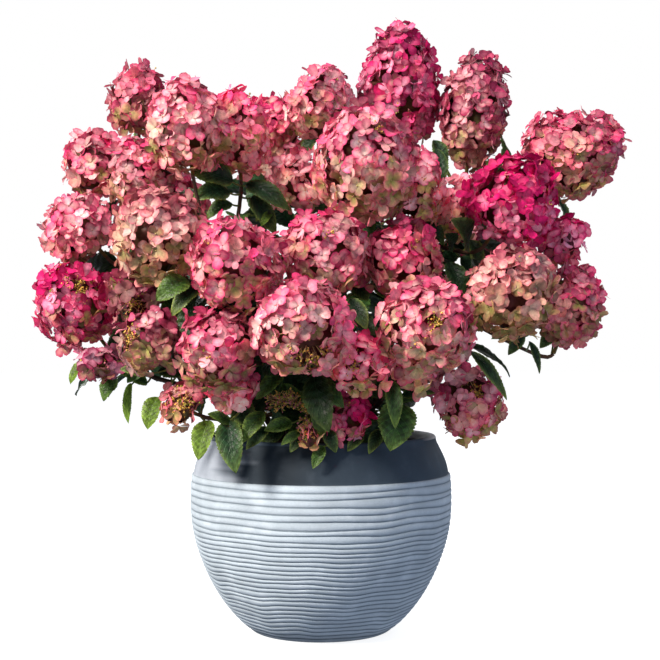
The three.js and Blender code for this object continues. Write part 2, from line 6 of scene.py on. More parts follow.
from __future__ import annotations

import logging
import math
from collections.abc import Iterator, Sequence
from dataclasses import dataclass, field
from enum import Enum

import bpy
import numpy as np
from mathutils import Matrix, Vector
from mathutils.geometry import delaunay_2d_cdt
from mathutils.kdtree import KDTree

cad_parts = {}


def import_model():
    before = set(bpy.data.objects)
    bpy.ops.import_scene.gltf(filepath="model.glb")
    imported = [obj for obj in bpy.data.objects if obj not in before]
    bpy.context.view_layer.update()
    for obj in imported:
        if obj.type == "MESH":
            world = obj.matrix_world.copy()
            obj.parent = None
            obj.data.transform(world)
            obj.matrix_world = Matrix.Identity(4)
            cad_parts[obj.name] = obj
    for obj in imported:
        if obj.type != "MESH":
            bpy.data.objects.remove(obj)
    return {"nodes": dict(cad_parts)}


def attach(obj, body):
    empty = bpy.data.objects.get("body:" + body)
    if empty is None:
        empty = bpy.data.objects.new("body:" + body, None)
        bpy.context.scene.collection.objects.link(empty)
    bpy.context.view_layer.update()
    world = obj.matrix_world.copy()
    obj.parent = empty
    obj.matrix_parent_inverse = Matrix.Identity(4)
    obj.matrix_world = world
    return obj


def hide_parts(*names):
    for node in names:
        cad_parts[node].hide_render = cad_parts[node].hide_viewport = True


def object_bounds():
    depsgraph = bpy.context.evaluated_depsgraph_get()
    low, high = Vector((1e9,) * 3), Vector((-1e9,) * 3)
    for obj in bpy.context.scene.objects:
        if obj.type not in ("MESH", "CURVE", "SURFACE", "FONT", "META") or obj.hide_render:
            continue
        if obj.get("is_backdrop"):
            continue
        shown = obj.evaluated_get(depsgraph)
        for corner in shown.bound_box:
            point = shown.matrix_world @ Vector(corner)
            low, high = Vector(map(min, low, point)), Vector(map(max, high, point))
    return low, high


LOG = logging.getLogger("hydrangea")
MM = 0.001
BODY = "root"
UP = np.array([0.0, 0.0, 1.0])
# The eight faces of a bud: four corners round its middle, then its tip and its foot
BUD_FACES = np.array(
    [[0, 1, 4], [1, 2, 4], [2, 3, 4], [3, 0, 4], [1, 0, 5], [2, 1, 5], [3, 2, 5], [0, 3, 5]]
)
BUD_POINTS = 6


def linear(colour: str) -> np.ndarray:
    """Turn an sRGB hex colour to linear.

    Args:
        colour: Six hex digits after a hash, such as "#a9b6c6".

    Returns:
        The red, green and blue shares of linear light.
    """
    shares = np.array([int(colour[at : at + 2], 16) / 255 for at in (1, 3, 5)])
    return np.where(shares <= 0.04045, shares / 12.92, ((shares + 0.055) / 1.055) ** 2.4)


def opaque(colour: str) -> tuple[float, float, float, float]:
    """Give an sRGB hex colour as the linear red, green, blue and alpha of a socket."""
    return (*linear(colour).tolist(), 1.0)


def unit(vectors: np.ndarray) -> np.ndarray:
    """Scale each vector, along the last axis, to a length of one."""
    return vectors / np.maximum(np.linalg.norm(vectors, axis=-1, keepdims=True), 1e-9)


def square_to(axis: np.ndarray) -> tuple[np.ndarray, np.ndarray]:
    """Find two directions square to a third, right-handed with it.

    Args:
        axis: A direction of length one.

    Returns:
        The side direction and the front direction.
    """
    helper = UP if abs(axis[2]) < 0.9 else np.array([1.0, 0.0, 0.0])
    side = unit(np.cross(helper, axis))
    return side, np.cross(axis, side)


def level_ring(count: int) -> np.ndarray:
    """Spread level directions evenly round a circle."""
    turns = np.arange(count) / count * math.tau
    return np.stack([np.cos(turns), np.sin(turns), 0 * turns], axis=-1)


def blend(low: np.ndarray, high: np.ndarray, share: np.ndarray) -> np.ndarray:
    """Mix two colours, or two for each point, by a share for each point.

    Args:
        low: What stands at share 0.
        high: What stands at share 1.
        share: Any array of shares.

    Returns:
        Colours, with red, green and blue along a new last axis.
    """
    share = np.clip(share, 0, 1)[..., None]
    return low * (1 - share) + high * share


def between(ends: tuple[str, str], share: np.ndarray) -> np.ndarray:
    """Mix two sRGB hex colours in linear light, by a share for each point."""
    return blend(linear(ends[0]), linear(ends[1]), share)


def grid_faces(rows: int, columns: int, closed: bool = False) -> np.ndarray:
    """List the quads of a grid of points.

    Args:
        rows: Points along the first way.
        columns: Points along the second way.
        closed: Whether the last column joins the first.

    Returns:
        Four point numbers for each quad.
    """
    row = np.arange(rows - 1)[:, None]
    column = np.arange(columns if closed else columns - 1)[None, :]
    beside = (column + 1) % columns
    quads = [row * columns + column, row * columns + beside]
    quads += [(row + 1) * columns + beside, (row + 1) * columns + column]
    return np.stack(quads, axis=-1).reshape(-1, 4)


def add_node(
    tree: bpy.types.NodeTree,
    kind: str,
    inputs: dict | None = None,
    **settings: object,
) -> bpy.types.Node:
    """Add a node with its settings and links.

    Args:
        tree: The material's node tree.
        kind: The node's type, without the word ShaderNode.
        inputs: For each input, by name or number, a value, the output that feeds it, or the node
            whose first output does.
        **settings: The node's own properties.

    Returns:
        The new node.
    """
    node = tree.nodes.new(f"ShaderNode{kind}")
    for name, value in settings.items():
        setattr(node, name, value)
    for name, value in (inputs or {}).items():
        if isinstance(value, bpy.types.Node):
            value = value.outputs[0]
        if isinstance(value, bpy.types.NodeSocket):
            tree.links.new(value, node.inputs[name])
        else:
            node.inputs[name].default_value = value
    return node


def blank_material(name: str) -> tuple[bpy.types.Material, bpy.types.NodeTree]:
    """Make a material with an empty node tree.

    Args:
        name: The material's name.

    Returns:
        The material and its tree.
    """
    material = bpy.data.materials.new(name)
    material.use_nodes = True
    material.node_tree.nodes.clear()
    return material, material.node_tree


@dataclass(frozen=True)
class ThinTissue:
    """Living petals and leaves: thin, a little waxy, and lit through from behind.

    Their waxy skin gives the eye a soft sheen, and the light through them lifts the shaded side.
    """

    name: str
    roughness: float = 0.55
    ior: float = 1.4
    specular: float = 0.3
    through: float = 0.3
    grain_mm: float = 2.5
    mottle_mm: float = 14.0
    mottle_range: tuple[float, float] = (0.86, 1.12)
    vein_count: float = 7.0
    vein_slant: float = 0.7
    midrib: tuple[float, float] = (0.012, 0.03)
    vein_depth: float = 0.25
    vein_mm: float = 0.4
    vein_colour: float = 0.08

    def material(self) -> bpy.types.Material:
        """Make the tissue's material, coloured by the mesh's own tint.

        Returns:
            The material.
        """
        material, tree = blank_material(self.name)
        tint = add_node(tree, "Attribute", attribute_name="tint")
        place = add_node(tree, "TexCoord")
        spot = place.outputs["Object"]
        mottle = add_node(tree, "TexNoise", {"Vector": spot, "Scale": 1 / (self.mottle_mm * MM)})
        grain = add_node(tree, "TexNoise", {"Vector": spot, "Scale": 1 / (self.grain_mm * MM)})
        # The veins fan out over the blade, from U across it and V along it.
        blade = add_node(tree, "SeparateXYZ", {0: place.outputs["UV"]})
        aside = add_node(tree, "Math", {0: blade.outputs["X"], 1: 0.5}, operation="SUBTRACT")
        across = add_node(tree, "Math", {0: aside}, operation="ABSOLUTE")
        fan = {0: across, 1: -self.vein_slant, 2: blade.outputs["Y"]}
        slant = add_node(tree, "Math", fan, operation="MULTIPLY_ADD")
        cycle = self.vein_count * math.tau
        turn = add_node(tree, "Math", {0: slant, 1: cycle}, operation="MULTIPLY")
        wave = add_node(tree, "Math", {0: turn}, operation="COSINE")
        vein = add_node(tree, "MapRange", {0: wave, 1: 0.8, 2: 1.0, 3: 0.0, 4: 1.0})
        near, far = self.midrib
        rib = add_node(tree, "MapRange", {0: across, 1: near, 2: far, 3: 1.0, 4: 0.0})
        lines = add_node(tree, "Math", {0: vein, 1: rib}, operation="MAXIMUM")
        low, high = self.mottle_range
        light = add_node(tree, "MapRange", {0: mottle, 1: 0.3, 2: 0.7, 3: low, 4: high})
        paler = {0: lines, 1: self.vein_colour, 2: light}
        veined = add_node(tree, "Math", paler, operation="MULTIPLY_ADD")
        colour = add_node(tree, "VectorMath", {0: tint, 3: veined}, operation="SCALE")
        relief = add_node(tree, "Math", {0: lines, 1: 0.8, 2: grain}, operation="MULTIPLY_ADD")
        heights = {"Strength": self.vein_depth, "Distance": self.vein_mm * MM, "Height": relief}
        bump = add_node(tree, "Bump", heights)
        skin = add_node(
            tree,
            "BsdfPrincipled",
            {
                "Base Color": colour,
                "Roughness": self.roughness,
                "IOR": self.ior,
                "Specular IOR Level": self.specular,
                "Normal": bump,
            },
        )
        glow = add_node(tree, "BsdfTranslucent", {"Color": colour, "Normal": bump})
        mix = add_node(tree, "MixShader", {0: self.through, 1: skin, 2: glow})
        add_node(tree, "OutputMaterial", {0: mix})
        return material


@dataclass(frozen=True)
class Grained:
    """A dry, solid stuff with a broken surface: bark, peat, or chalky moulded planter.

    Noise at its real grain size breaks up its colour and its light, so it never looks like plain plastic.
    """

    name: str
    grain_mm: float
    patch_mm: float
    dark: float
    light: float
    depth_mm: float
    roughness: float
    ior: float = 1.5
    specular: float = 0.3
    dust: str = "#c9cbcb"
    dust_share: float = 0.0
    stretch: float = 1.0

    def material(self) -> bpy.types.Material:
        """Make the stuff's material, coloured by the mesh's own tint.

        Returns:
            The material.
        """
        material, tree = blank_material(self.name)
        tint = add_node(tree, "Attribute", attribute_name="tint")
        place = add_node(tree, "TexCoord")
        sized = add_node(tree, "Mapping", {0: place.outputs["Object"], 3: (1.0, 1.0, self.stretch)})
        fine, broad = 1 / (self.grain_mm * MM), 1 / (self.patch_mm * MM)
        grain = add_node(tree, "TexNoise", {"Vector": sized, "Scale": fine, "Detail": 5.0})
        patch = add_node(tree, "TexNoise", {"Vector": sized, "Scale": broad, "Detail": 4.0})
        both = add_node(tree, "Math", {0: grain, 1: patch}, operation="ADD")
        shade = add_node(tree, "MapRange", {0: both, 1: 0.75, 2: 1.25, 3: self.dark, 4: self.light})
        colour = add_node(tree, "VectorMath", {0: tint, 3: shade}, operation="SCALE")
        dusty = add_node(tree, "MapRange", {0: patch, 1: 0.56, 2: 0.7, 3: 0.0, 4: self.dust_share})
        layers = {0: dusty, 6: colour, 7: opaque(self.dust)}
        worn = add_node(tree, "Mix", layers, data_type="RGBA")
        heights = {"Strength": 0.6, "Distance": self.depth_mm * MM, "Height": grain}
        bump = add_node(tree, "Bump", heights)
        skin = add_node(
            tree,
            "BsdfPrincipled",
            {
                "Base Color": worn.outputs[2],
                "Roughness": self.roughness,
                "IOR": self.ior,
                "Specular IOR Level": self.specular,
                "Normal": bump,
            },
        )
        add_node(tree, "OutputMaterial", {0: skin})
        return material


# Sepals: thin and matt, with the faintest veins, so they read as soft paper rather than as wax
SEPALS = ThinTissue(
    "hydrangea_sepals",
    roughness=0.5,
    specular=0.28,
    through=0.24,
    mottle_mm=4.5,
    mottle_range=(0.74, 1.22),
    vein_depth=0.3,
    vein_colour=0.1,
)
# Leaf blades: waxy above, with a soft sheen broken up by paler veins and the quilting between them
BLADES = ThinTissue(
    "hydrangea_leaf_blades",
    roughness=0.4,
    specular=0.42,
    through=0.2,
    mottle_mm=7.0,
    mottle_range=(0.5, 1.42),
    vein_depth=0.9,
    vein_mm=1.1,
    vein_colour=0.6,
)
# Young bark: dull and brown, with a fine grain that runs along the stem
BARK = Grained(
    "young_bark",
    grain_mm=1.2,
    patch_mm=9.0,
    dark=0.75,
    light=1.2,
    depth_mm=0.3,
    roughness=0.7,
    stretch=0.25,
)
# Potting mix: peat and composted bark, crumbly and almost black where it is damp
PEAT = Grained(
    "peat_and_bark_mix",
    grain_mm=1.6,
    patch_mm=12.0,
    dark=0.55,
    light=1.5,
    depth_mm=1.2,
    roughness=0.95,
)
# Moulded planter body: a matt, chalky glaze whose pores and pale bloom break the light; the pale bloom is
# partly dust and partly painted sun flecks
SHELL = Grained(
    "matt_glazed_planter_body",
    grain_mm=1.4,
    patch_mm=26.0,
    dark=0.9,
    light=1.1,
    depth_mm=0.1,
    roughness=0.8,
    dust="#d9dee2",
    dust_share=0.12,
)
# Smooth band: the same shell sealed with a satin slip, dark, with a soft sheen along its edges
BAND = Grained(
    "satin_slip_band",
    grain_mm=0.9,
    patch_mm=30.0,
    dark=0.9,
    light=1.1,
    depth_mm=0.05,
    roughness=0.7,
    specular=0.14,
    dust="#8a939d",
    dust_share=0.04,
)


@dataclass
class Shape:
    """Patches of surface that are gathered into one mesh."""

    name: str
    points: list[np.ndarray] = field(default_factory=list)
    faces: list[np.ndarray] = field(default_factory=list)
    maps: list[np.ndarray] = field(default_factory=list)
    tints: list[np.ndarray] = field(default_factory=list)
    finishes: list[np.ndarray] = field(default_factory=list)
    count: int = 0

    def add(
        self,
        points: np.ndarray,
        faces: np.ndarray,
        tint: np.ndarray,
        plan: np.ndarray | None = None,
        finish: int = 0,
    ) -> None:
        """Add one patch, or many copies of a patch with the same faces.

        Args:
            points: Places in millimetres, as points or as copies of points.
            faces: Triangles or quads of one copy.
            tint: A colour, or one for each point.
            plan: Two surface coordinates for each point.
            finish: The number of its material.
        """
        copies = points.reshape(-1, points.shape[-2], 3)
        number, each = copies.shape[:2]
        starts = self.count + np.arange(number) * each
        self.faces.append((faces[None] + starts[:, None, None]).reshape(-1, faces.shape[1]))
        self.points.append(copies.reshape(-1, 3))
        self.finishes.append(np.full(number * len(faces), finish))
        self.tints.append(np.broadcast_to(tint, (number, each, 3)).reshape(-1, 3))
        between_veins = np.full(2, 0.3)
        plan = between_veins if plan is None else plan
        self.maps.append(np.broadcast_to(plan, (number, each, 2)).reshape(-1, 2))
        self.count += number * each

    def add_grid(
        self,
        points: np.ndarray,
        tint: np.ndarray,
        plan: np.ndarray | None = None,
        closed: bool = False,
        flipped: bool = False,
        finish: int = 0,
    ) -> None:
        """Add a grid of places, row after row, as quads.

        Args:
            points: Places in millimetres, by row and column.
            tint: A colour, or one for each place.
            plan: Two surface coordinates for each place.
            closed: Whether the last column joins the first.
            flipped: Whether the faces look the other way.
            finish: The number of its material.
        """
        faces = grid_faces(*points.shape[:2], closed)
        faces = faces[:, ::-1] if flipped else faces
        tint = np.broadcast_to(tint, points.shape).reshape(-1, 3)
        plan = None if plan is None else plan.reshape(-1, 2)
        self.add(points.reshape(-1, 3), faces, tint, plan, finish)

    def build(self, materials: Sequence[bpy.types.Material], slot: str, *nodes: str) -> bpy.types.Object:
        """Make the mesh, dress it and let it stand for its nodes.

        Args:
            materials: Its finishes.
            slot: The record's material slot. It is not used.
            *nodes: The frame's nodes that it stands for.

        Returns:
            The object, riding with the frame.
        """
        mesh = bpy.data.meshes.new(self.name)
        points = np.concatenate(self.points) * MM
        corners = np.concatenate([faces.reshape(-1) for faces in self.faces])
        sizes = np.concatenate([np.full(len(faces), faces.shape[1]) for faces in self.faces])
        starts = np.concatenate([[0], np.cumsum(sizes)[:-1]])
        mesh.vertices.add(len(points))
        mesh.loops.add(len(corners))
        mesh.polygons.add(len(sizes))
        mesh.vertices.foreach_set("co", points.reshape(-1).astype(np.float32))
        mesh.loops.foreach_set("vertex_index", corners.astype(np.int32))
        mesh.polygons.foreach_set("loop_start", starts.astype(np.int32))
        mesh.polygons.foreach_set("use_smooth", np.ones(len(sizes), bool))
        for material in materials:
            mesh.materials.append(material)
        mesh.polygons.foreach_set("material_index", np.concatenate(self.finishes).astype(np.int32))
        mesh.update(calc_edges=True)
        tint = mesh.color_attributes.new("tint", "FLOAT_COLOR", "POINT")
        colours = np.concatenate(self.tints)
        full = np.concatenate([colours, np.ones((len(colours), 1))], axis=1)
        tint.data.foreach_set("color", full.reshape(-1).astype(np.float32))
        plan = mesh.uv_layers.new(name="surface")
        plan.uv.foreach_set("vector", np.concatenate(self.maps)[corners].reshape(-1).astype(np.float32))
        mesh.validate()
        piece = bpy.data.objects.new(self.name, mesh)
        bpy.context.scene.collection.objects.link(piece)
        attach(piece, BODY)
        if nodes:
            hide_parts(*nodes)
        LOG.info("%s: %d faces", self.name, len(sizes))
        return piece


def tube(path: np.ndarray, radii: np.ndarray, sides: int) -> tuple[np.ndarray, np.ndarray]:
    """Sweep a round section along a path.

    Args:
        path: The places that the tube runs through.
        radii: Its radius at each place.
        sides: How many sides the section has.

    Returns:
        The points, ring after ring, with a middle point at each end, and the faces as triangles.
    """
    ways = unit(np.gradient(path, axis=0))
    across = square_to(ways[0])[0]
    turns = np.arange(sides)[:, None] / sides * math.tau
    rings = []
    for place, way, radius in zip(path, ways, radii):
        across = unit(across - way * np.dot(across, way))
        upright = np.cross(way, across)
        rings.append(place + radius * (np.cos(turns) * across + np.sin(turns) * upright))
    points = np.concatenate([*rings, path[:1], path[-1:]])
    quads = grid_faces(len(path), sides, closed=True)
    faces = [quads[:, [0, 1, 2]], quads[:, [0, 2, 3]]]
    first, last = len(path) * sides, len(path) * sides + 1
    ring = np.arange(sides)
    beside = (ring + 1) % sides
    top = (len(path) - 1) * sides
    faces.append(np.stack([np.full(sides, first), beside, ring], axis=1))
    faces.append(np.stack([np.full(sides, last), top + ring, top + beside], axis=1))
    return points, np.concatenate(faces)


@dataclass(frozen=True)
class Eye:
    """The level eye from which the plant is seen, in front of the pot."""

    across: float = 13
    height: float = 437
    distance: float = 2054
    middle: float = 330
    scale: float = 1.467
    picture: float = 660
    sensor: float = 36

    def place(self, x: float, y: float, depth: float) -> np.ndarray:
        """Find the place of something seen in the picture at a known depth.

        Args:
            x: Pixels from the picture's left.
            y: Pixels from its top.
            depth: Millimetres behind the pot's axis.

        Returns:
            The place.
        """
        scale = self.scale * (1 + depth / self.distance)
        aside, down = (x - self.middle) * scale, (y - self.middle) * scale
        return np.array([self.across + aside, depth, self.height - down])

    def seen(self, places: np.ndarray) -> np.ndarray:
        """Find where places appear in the picture.

        Args:
            places: The places.

        Returns:
            Pixels from the picture's left and top for each.
        """
        scale = self.scale * (1 + places[..., 1] / self.distance)
        across = (places[..., 0] - self.across) / scale
        down = (self.height - places[..., 2]) / scale
        return np.stack([across, down], axis=-1) + self.middle

    def build(self) -> None:
        """Set up the scene's camera."""
        data = bpy.data.cameras.new("eye")
        data.sensor_width = self.sensor
        data.lens = self.sensor * self.distance / (self.scale * self.picture)
        camera = bpy.data.objects.new("eye", data)
        camera.location = (self.across * MM, -self.distance * MM, self.height * MM)
        camera.rotation_euler = (math.pi / 2, 0, 0)
        bpy.context.scene.collection.objects.link(camera)
        bpy.context.scene.camera = camera


EYE = Eye()


class Tone(Enum):
    """How far a flower head has turned from cream to crimson."""

    PALE = "pale"
    ROSE = "rose"
    MAGENTA = "magenta"
    DUSKY = "dusky"
    GREEN = "green"


@dataclass(frozen=True)
class Blush:
    """The colours of one tone's sepals, and how far they have flushed or kept their green."""

    pale: str
    flush: str
    rim: str
    aged: str
    aged_rim: str
    flushed: float
    turning: float
    # How much paler the sepals that face the key lamp are painted: painted light
    lit_side_paling: float = 0.12

    def colours(self, flush: np.ndarray, low: np.ndarray, rim: np.ndarray) -> np.ndarray:
        """Mix the sepals' colours.

        Args:
            flush: How pink each point's sepal is, from 0 to 1.
            low: How far it has kept its green, from 0 to 1.
            rim: How near each point is to its sepal's rim, from 0 to 1.

        Returns:
            A linear colour for each point.
        """
        flush, low, rim = np.broadcast_arrays(flush, low, rim)
        fresh = between((self.pale, self.flush), flush)
        kept = between((self.aged, OLIVE), 1.6 * low - 0.5)
        fresh = blend(fresh, linear(self.rim), rim)
        kept = blend(kept, linear(self.aged_rim), rim)
        return blend(fresh, kept, low)


OLIVE = "#93914c"
BUD_COLOURS = ("#f8c263", "#98a344")
ROSY_BUD = "#d9808c"
BUD_STALKS = ("#e6c583", "#bf7260")
BLUSHES = {
    Tone.PALE: Blush("#fbdcd6", "#f07294", "#dc3c74", "#cbb07e", "#c06270", 0.38, 0.34),
    Tone.ROSE: Blush("#f9c8ca", "#e7497e", "#cb2663", "#bb9864", "#b04664", 0.46, 0.28),
    Tone.MAGENTA: Blush("#fcc4d8", "#dd1e70", "#b00a54", "#a25e54", "#96244e", 0.64, 0.12, 0.4),
    Tone.DUSKY: Blush("#f4cac8", "#c84e74", "#9e2450", "#a78d60", "#904a56", 0.46, 0.4, 0.3),
    Tone.GREEN: Blush("#f9d5c6", "#e8848f", "#cc5470", "#b0aa64", "#b0785e", 0.3, 0.5),
}


@dataclass(frozen=True)
class Spray:
    """A patch of fertile flowers that shows on one head, with no sepals over it."""

    head: str
    count: int
    way: tuple[float, float, float]
    clear: float = 18
    reach: float = 0.97


SPRAYS = [Spray(*row) for row in (
    ("09", 26, (0.25, -0.85, 0.5), 19),
    ("21", 20, (0.12, -0.98, 0.08), 13),
    ("26", 24, (0.15, -0.8, -0.6), 26, 1.0),
    ("27", 16, (-0.6, -0.8, 0.2), 20),
    ("31", 24, (0.2, -0.9, 0.4), 20),
    ("32", 44, (0.3, -0.95, 0.05), 44, 1.0),
    ("37", 40, (0, -0.9, 0.2), 85, 1.0),
    ("22", 34, (0.1, -0.8, -0.85), 26),
    ("24", 6, (0.2, -0.9, 0.5), 8),
    ("14", 6, (0.3, -0.8, 0.7), 9),
    ("23", 8, (0.1, -0.9, 0.55), 10),
    ("28", 14, (-0.3, -0.95, 0.1), 16),
    ("36", 12, (0.4, -0.9, 0.1), 22),
    ("12", 8, (-0.1, -1, -0.9), 9),
    ("16", 10, (-0.2, -0.9, -0.1), 10),
)]


def grow_buds(shape: Shape, draw: np.random.Generator, roots: np.ndarray, tips: np.ndarray) -> None:
    """Grow fertile flowers: tiny buds that branch off thin stalks.

    Args:
        shape: Where they are added.
        draw: The plant part's own draw.
        roots: The place where each stalk starts.
        tips: The place where it ends.
    """
    each, drift, rosy_share = 4, 3.4, 0.2
    count = len(tips)
    apart = draw.normal(0, drift, (count, each, 3))
    apart[:, 0] = 0
    ends = (tips[:, None] + apart).reshape(-1, 3)
    forks = np.repeat(roots + (tips - roots) * draw.uniform(0.55, 0.8, (count, 1)), each, axis=0)
    forks[::each] = roots
    form = np.array([[1, 0, 0], [0, 1, 0], [-1, 0, 0], [0, -1, 0], [0, 0, 1.2], [0, 0, -1]])
    radius = draw.uniform(0.9, 1.8, count * each)
    tint = between(BUD_COLOURS, draw.uniform(-0.2, 1, count * each))
    rosy = (draw.uniform(0, 1, count * each) < rosy_share)[:, None]
    tint = np.where(rosy, linear(ROSY_BUD), tint)
    tints = np.repeat(tint[:, None], BUD_POINTS, axis=1)
    shape.add(ends[:, None] + form * radius[:, None, None], BUD_FACES, tints)
    stalks = between(BUD_STALKS, draw.uniform(0, 1, count * each))
    thickness = np.array([0.65, 0.5])
    for fork, end, colour in zip(forks, ends, stalks):
        points, sides = tube(np.array([fork, end]), thickness, 3)
        shape.add(points, sides, colour)


@dataclass(frozen=True)
class SepalForm:
    """The form of one sepal, where each pair is a mean and a spread.

    Lengths are millimetres, turns are radians, and the rest are shares of the sepal's size.
    """

    along: Sequence[float] = (0.05, 0.3, 0.62, 0.88, 1.0)
    widths: Sequence[float] = (0.2, 0.76, 1.0, 0.8, 0.32)
    columns: int = 4
    count: int = 4
    length: float = 14.4
    half: float = 7.0
    stretch: tuple[float, float] = (1.0, 0.07)
    spread: tuple[float, float] = (1.0, 0.08)
    opening: tuple[float, float] = (0.3, 0.16)
    own_opening: tuple[float, float] = (0, 0.12)
    curl: tuple[float, float] = (-0.12, 0.2)
    cup: tuple[float, float] = (0.24, 0.14)
    twist: tuple[float, float] = (0, 0.16)
    turn: tuple[float, float] = (0, 0.1)
    blunt: float = 0.07
    crinkle: float = 0.5
    overlap: float = 0.9


@dataclass(frozen=True)
class Variety:
    """How much the sepals of one head differ in their flush, their green and their light."""

    flush_up: float = 0.34
    flush_patch: float = 0.4
    patch_pace: float = 2.6
    flush_floret: float = 0.2
    flush_sepal: float = 0.17
    # The way towards the key lamp, for the sepals painted paler where they face it
    sun: tuple[float, float, float] = (-0.75, -0.55, 0.5)
    green_less: float = 0.14
    green_down: float = 0.5
    green_facing: float = 0.35
    green_floret: float = 0.22
    green_sepal: float = 0.08
    green_spent: float = 0.42
    rim_depth: tuple[float, float] = (0.45, 1.3)
    rim_flush: float = 0.25
    rim_from: float = 0.6
    sepal_light: tuple[float, float] = (0.54, 1.26)
    floret_light: tuple[float, float] = (0.84, 1.1)
    painted_light_below: float = 1.19
    painted_shade_above: float = 0.34
    painted_throat_shade: float = 0.74
    painted_limb_light: float = 0.3
    palest: float = 0.7
    headroom: float = 0.26
    lit_more: float = 0.75


SEPAL = SepalForm()
VARIETY = Variety()


@dataclass(frozen=True)
class Florets:
    """Where a head's florets stand, how they face, two ways across each, and their sizes."""

    middle: np.ndarray
    facing: np.ndarray
    spin: np.ndarray
    cross: np.ndarray
    size: np.ndarray


@dataclass
class Head:
    """A dome or cone of four-sepalled florets round a leafless, branched middle."""

    name: str
    x: float
    y: float
    depth: float
    radius: float
    half: float
    tone: Tone
    way: Sequence[float] | None = None
    spring: tuple[float, float, float] = (0, 0, 200)
    taper: float = 0.16
    neck_length: float = 5
    flush: float = 0.0
    aged: float = 0.0
    # Above 1 the sepals are painted lighter than their own colour, as painted light on heads that stand in
    # shade; below 1 they are painted darker, as painted shade
    light: float = 1.0
    skirt: float = 148
    cover: float = 1.5
    floret_inset: float = 9.0
    floret_jitter: float = 4.6
    facing_scatter: float = 0.28
    floret_sizes: tuple[float, float] = (0.74, 1.2)
    lump: float = 1.8
    lump_pace: float = 3.6
    spent: float = 0.24
    eye_radius: float = 1.3
    eye_colours: tuple[str, str] = ("#c9728a", "#c4b872")
    core_share: float = 0.68
    core_bumps: float = 0.16
    core_painted_shades: tuple[float, float] = (0.24, 0.26)
    stalk_radius: float = 2.8
    stalk_colour: str = "#7d6a3a"

    def __post_init__(self) -> None:
        """Work out the head's place, the way that it points and its own sprays."""
        self.centre = EYE.place(self.x, self.y, self.depth)
        aim = self.centre - np.array(self.spring) if self.way is None else np.array(self.way)
        self.axis = unit(aim.astype(float))
        self.side, self.front = square_to(self.axis)
        self.neck = self.centre - self.axis * (self.half + self.neck_length)
        self.draw = np.random.default_rng(int(self.name) + 40)
        self.sprays = [spray for spray in SPRAYS if spray.head == self.name]

    def surface(self, polar: np.ndarray, turn: np.ndarray, share: np.ndarray | float) -> np.ndarray:
        """Find places on the head's outline, or a share of the way out to it.

        Args:
            polar: Radians from the tip.
            turn: Radians round the axis.
            share: How far out from the middle.

        Returns:
            The places.
        """
        high = np.cos(polar)
        wide = np.sin(polar) * self.radius * (1 - self.taper * high) * share
        out = np.cos(turn)[..., None] * self.side + np.sin(turn)[..., None] * self.front
        return self.centre + out * wide[..., None] + self.axis * (self.half * high * share)[..., None]

    def covers(self, places: np.ndarray, clear: float) -> bool:
        """Tell whether any of some places lies in the head.

        Args:
            places: The places to test.
            clear: How much further than its outline the head is taken to reach.

        Returns:
            True if one does.
        """
        arm = places - self.centre
        wide = np.hypot(arm @ self.side, arm @ self.front) / (self.radius + clear)
        high = (arm @ self.axis) / (self.half + clear)
        return bool((wide**2 + high**2 < 1).any())

    def spots(self) -> tuple[np.ndarray, np.ndarray]:
        """Spread the florets evenly over the head, as on a seed head.

        Returns:
            Radians from the tip and round the axis for each floret.
        """
        floret_share, fewest = 0.72, 8
        polar = np.linspace(0.02, math.radians(self.skirt), 200)
        line = self.surface(polar, np.zeros_like(polar), 1.0)
        lengths = np.linalg.norm(np.diff(line, axis=0), axis=1)
        middles = (polar[1:] + polar[:-1]) / 2
        around = math.tau * self.radius * np.sin(middles) * (1 - self.taper * np.cos(middles))
        areas = np.concatenate([[0], np.cumsum(lengths * around)])
        floret = math.pi * SEPAL.length**2 * floret_share
        count = max(fewest, round(self.cover * areas[-1] / floret))
        shares = (np.arange(count) + 0.5) / count
        polars = np.interp(shares * areas[-1], areas, polar) + self.draw.normal(0, 0.05, count)
        golden = 3 - math.sqrt(5)
        turns = np.arange(count) * math.pi * golden + self.draw.normal(0, 0.08, count)
        return np.abs(polars), turns

    def waves(self, ways: np.ndarray, pace: float) -> np.ndarray:
        """Draw three slow waves over the head, which make its lumps or its patches of colour.

        Args:
            ways: Directions from the head's middle.
            pace: How fast a wave turns over from one side of the head to the other.

        Returns:
            Three heights for each direction, from -1 to 1.
        """
        return np.cos(ways @ self.draw.normal(0, pace, (3, 3)) + self.draw.uniform(0, math.tau, 3))

    def arranged(self) -> Florets:
        """Set the florets on the head's outline, a little in or out, with bare patches for the sprays.

        Returns:
            The florets.
        """
        nudge = 0.02
        polar, turn = self.spots()
        inset = self.floret_inset + self.draw.uniform(-1, 1, len(polar)) * self.floret_jitter
        away = unit(self.surface(polar, turn, np.ones_like(polar)) - self.centre)
        lumps = self.waves(away, self.lump_pace).sum(axis=1)
        share = 1 - (inset - self.lump * lumps) / min(self.radius, self.half)
        middle = self.surface(polar, turn, share)
        kept = np.ones(len(polar), dtype=bool)
        for spray in self.sprays:
            kept &= away @ unit(np.array(spray.way)) < math.cos(math.radians(spray.clear))
        polar, turn, share, middle = polar[kept], turn[kept], share[kept], middle[kept]
        count = len(polar)
        further = self.surface(polar, turn, share + nudge)
        over = self.surface(polar + nudge, turn, share) - self.surface(polar - nudge, turn, share)
        beside = self.surface(polar, turn + nudge, share) - self.surface(polar, turn - nudge, share)
        facing = unit(np.cross(over, beside))
        facing *= np.sign(np.sum(facing * (further - middle), axis=1))[:, None]
        facing = unit(facing + self.draw.normal(0, self.facing_scatter, (count, 3)))
        spin = unit(np.cross(facing, self.draw.normal(0, 1, (count, 3))))
        size = self.draw.uniform(*self.floret_sizes, count)
        return Florets(middle, facing, spin, np.cross(facing, spin), size)

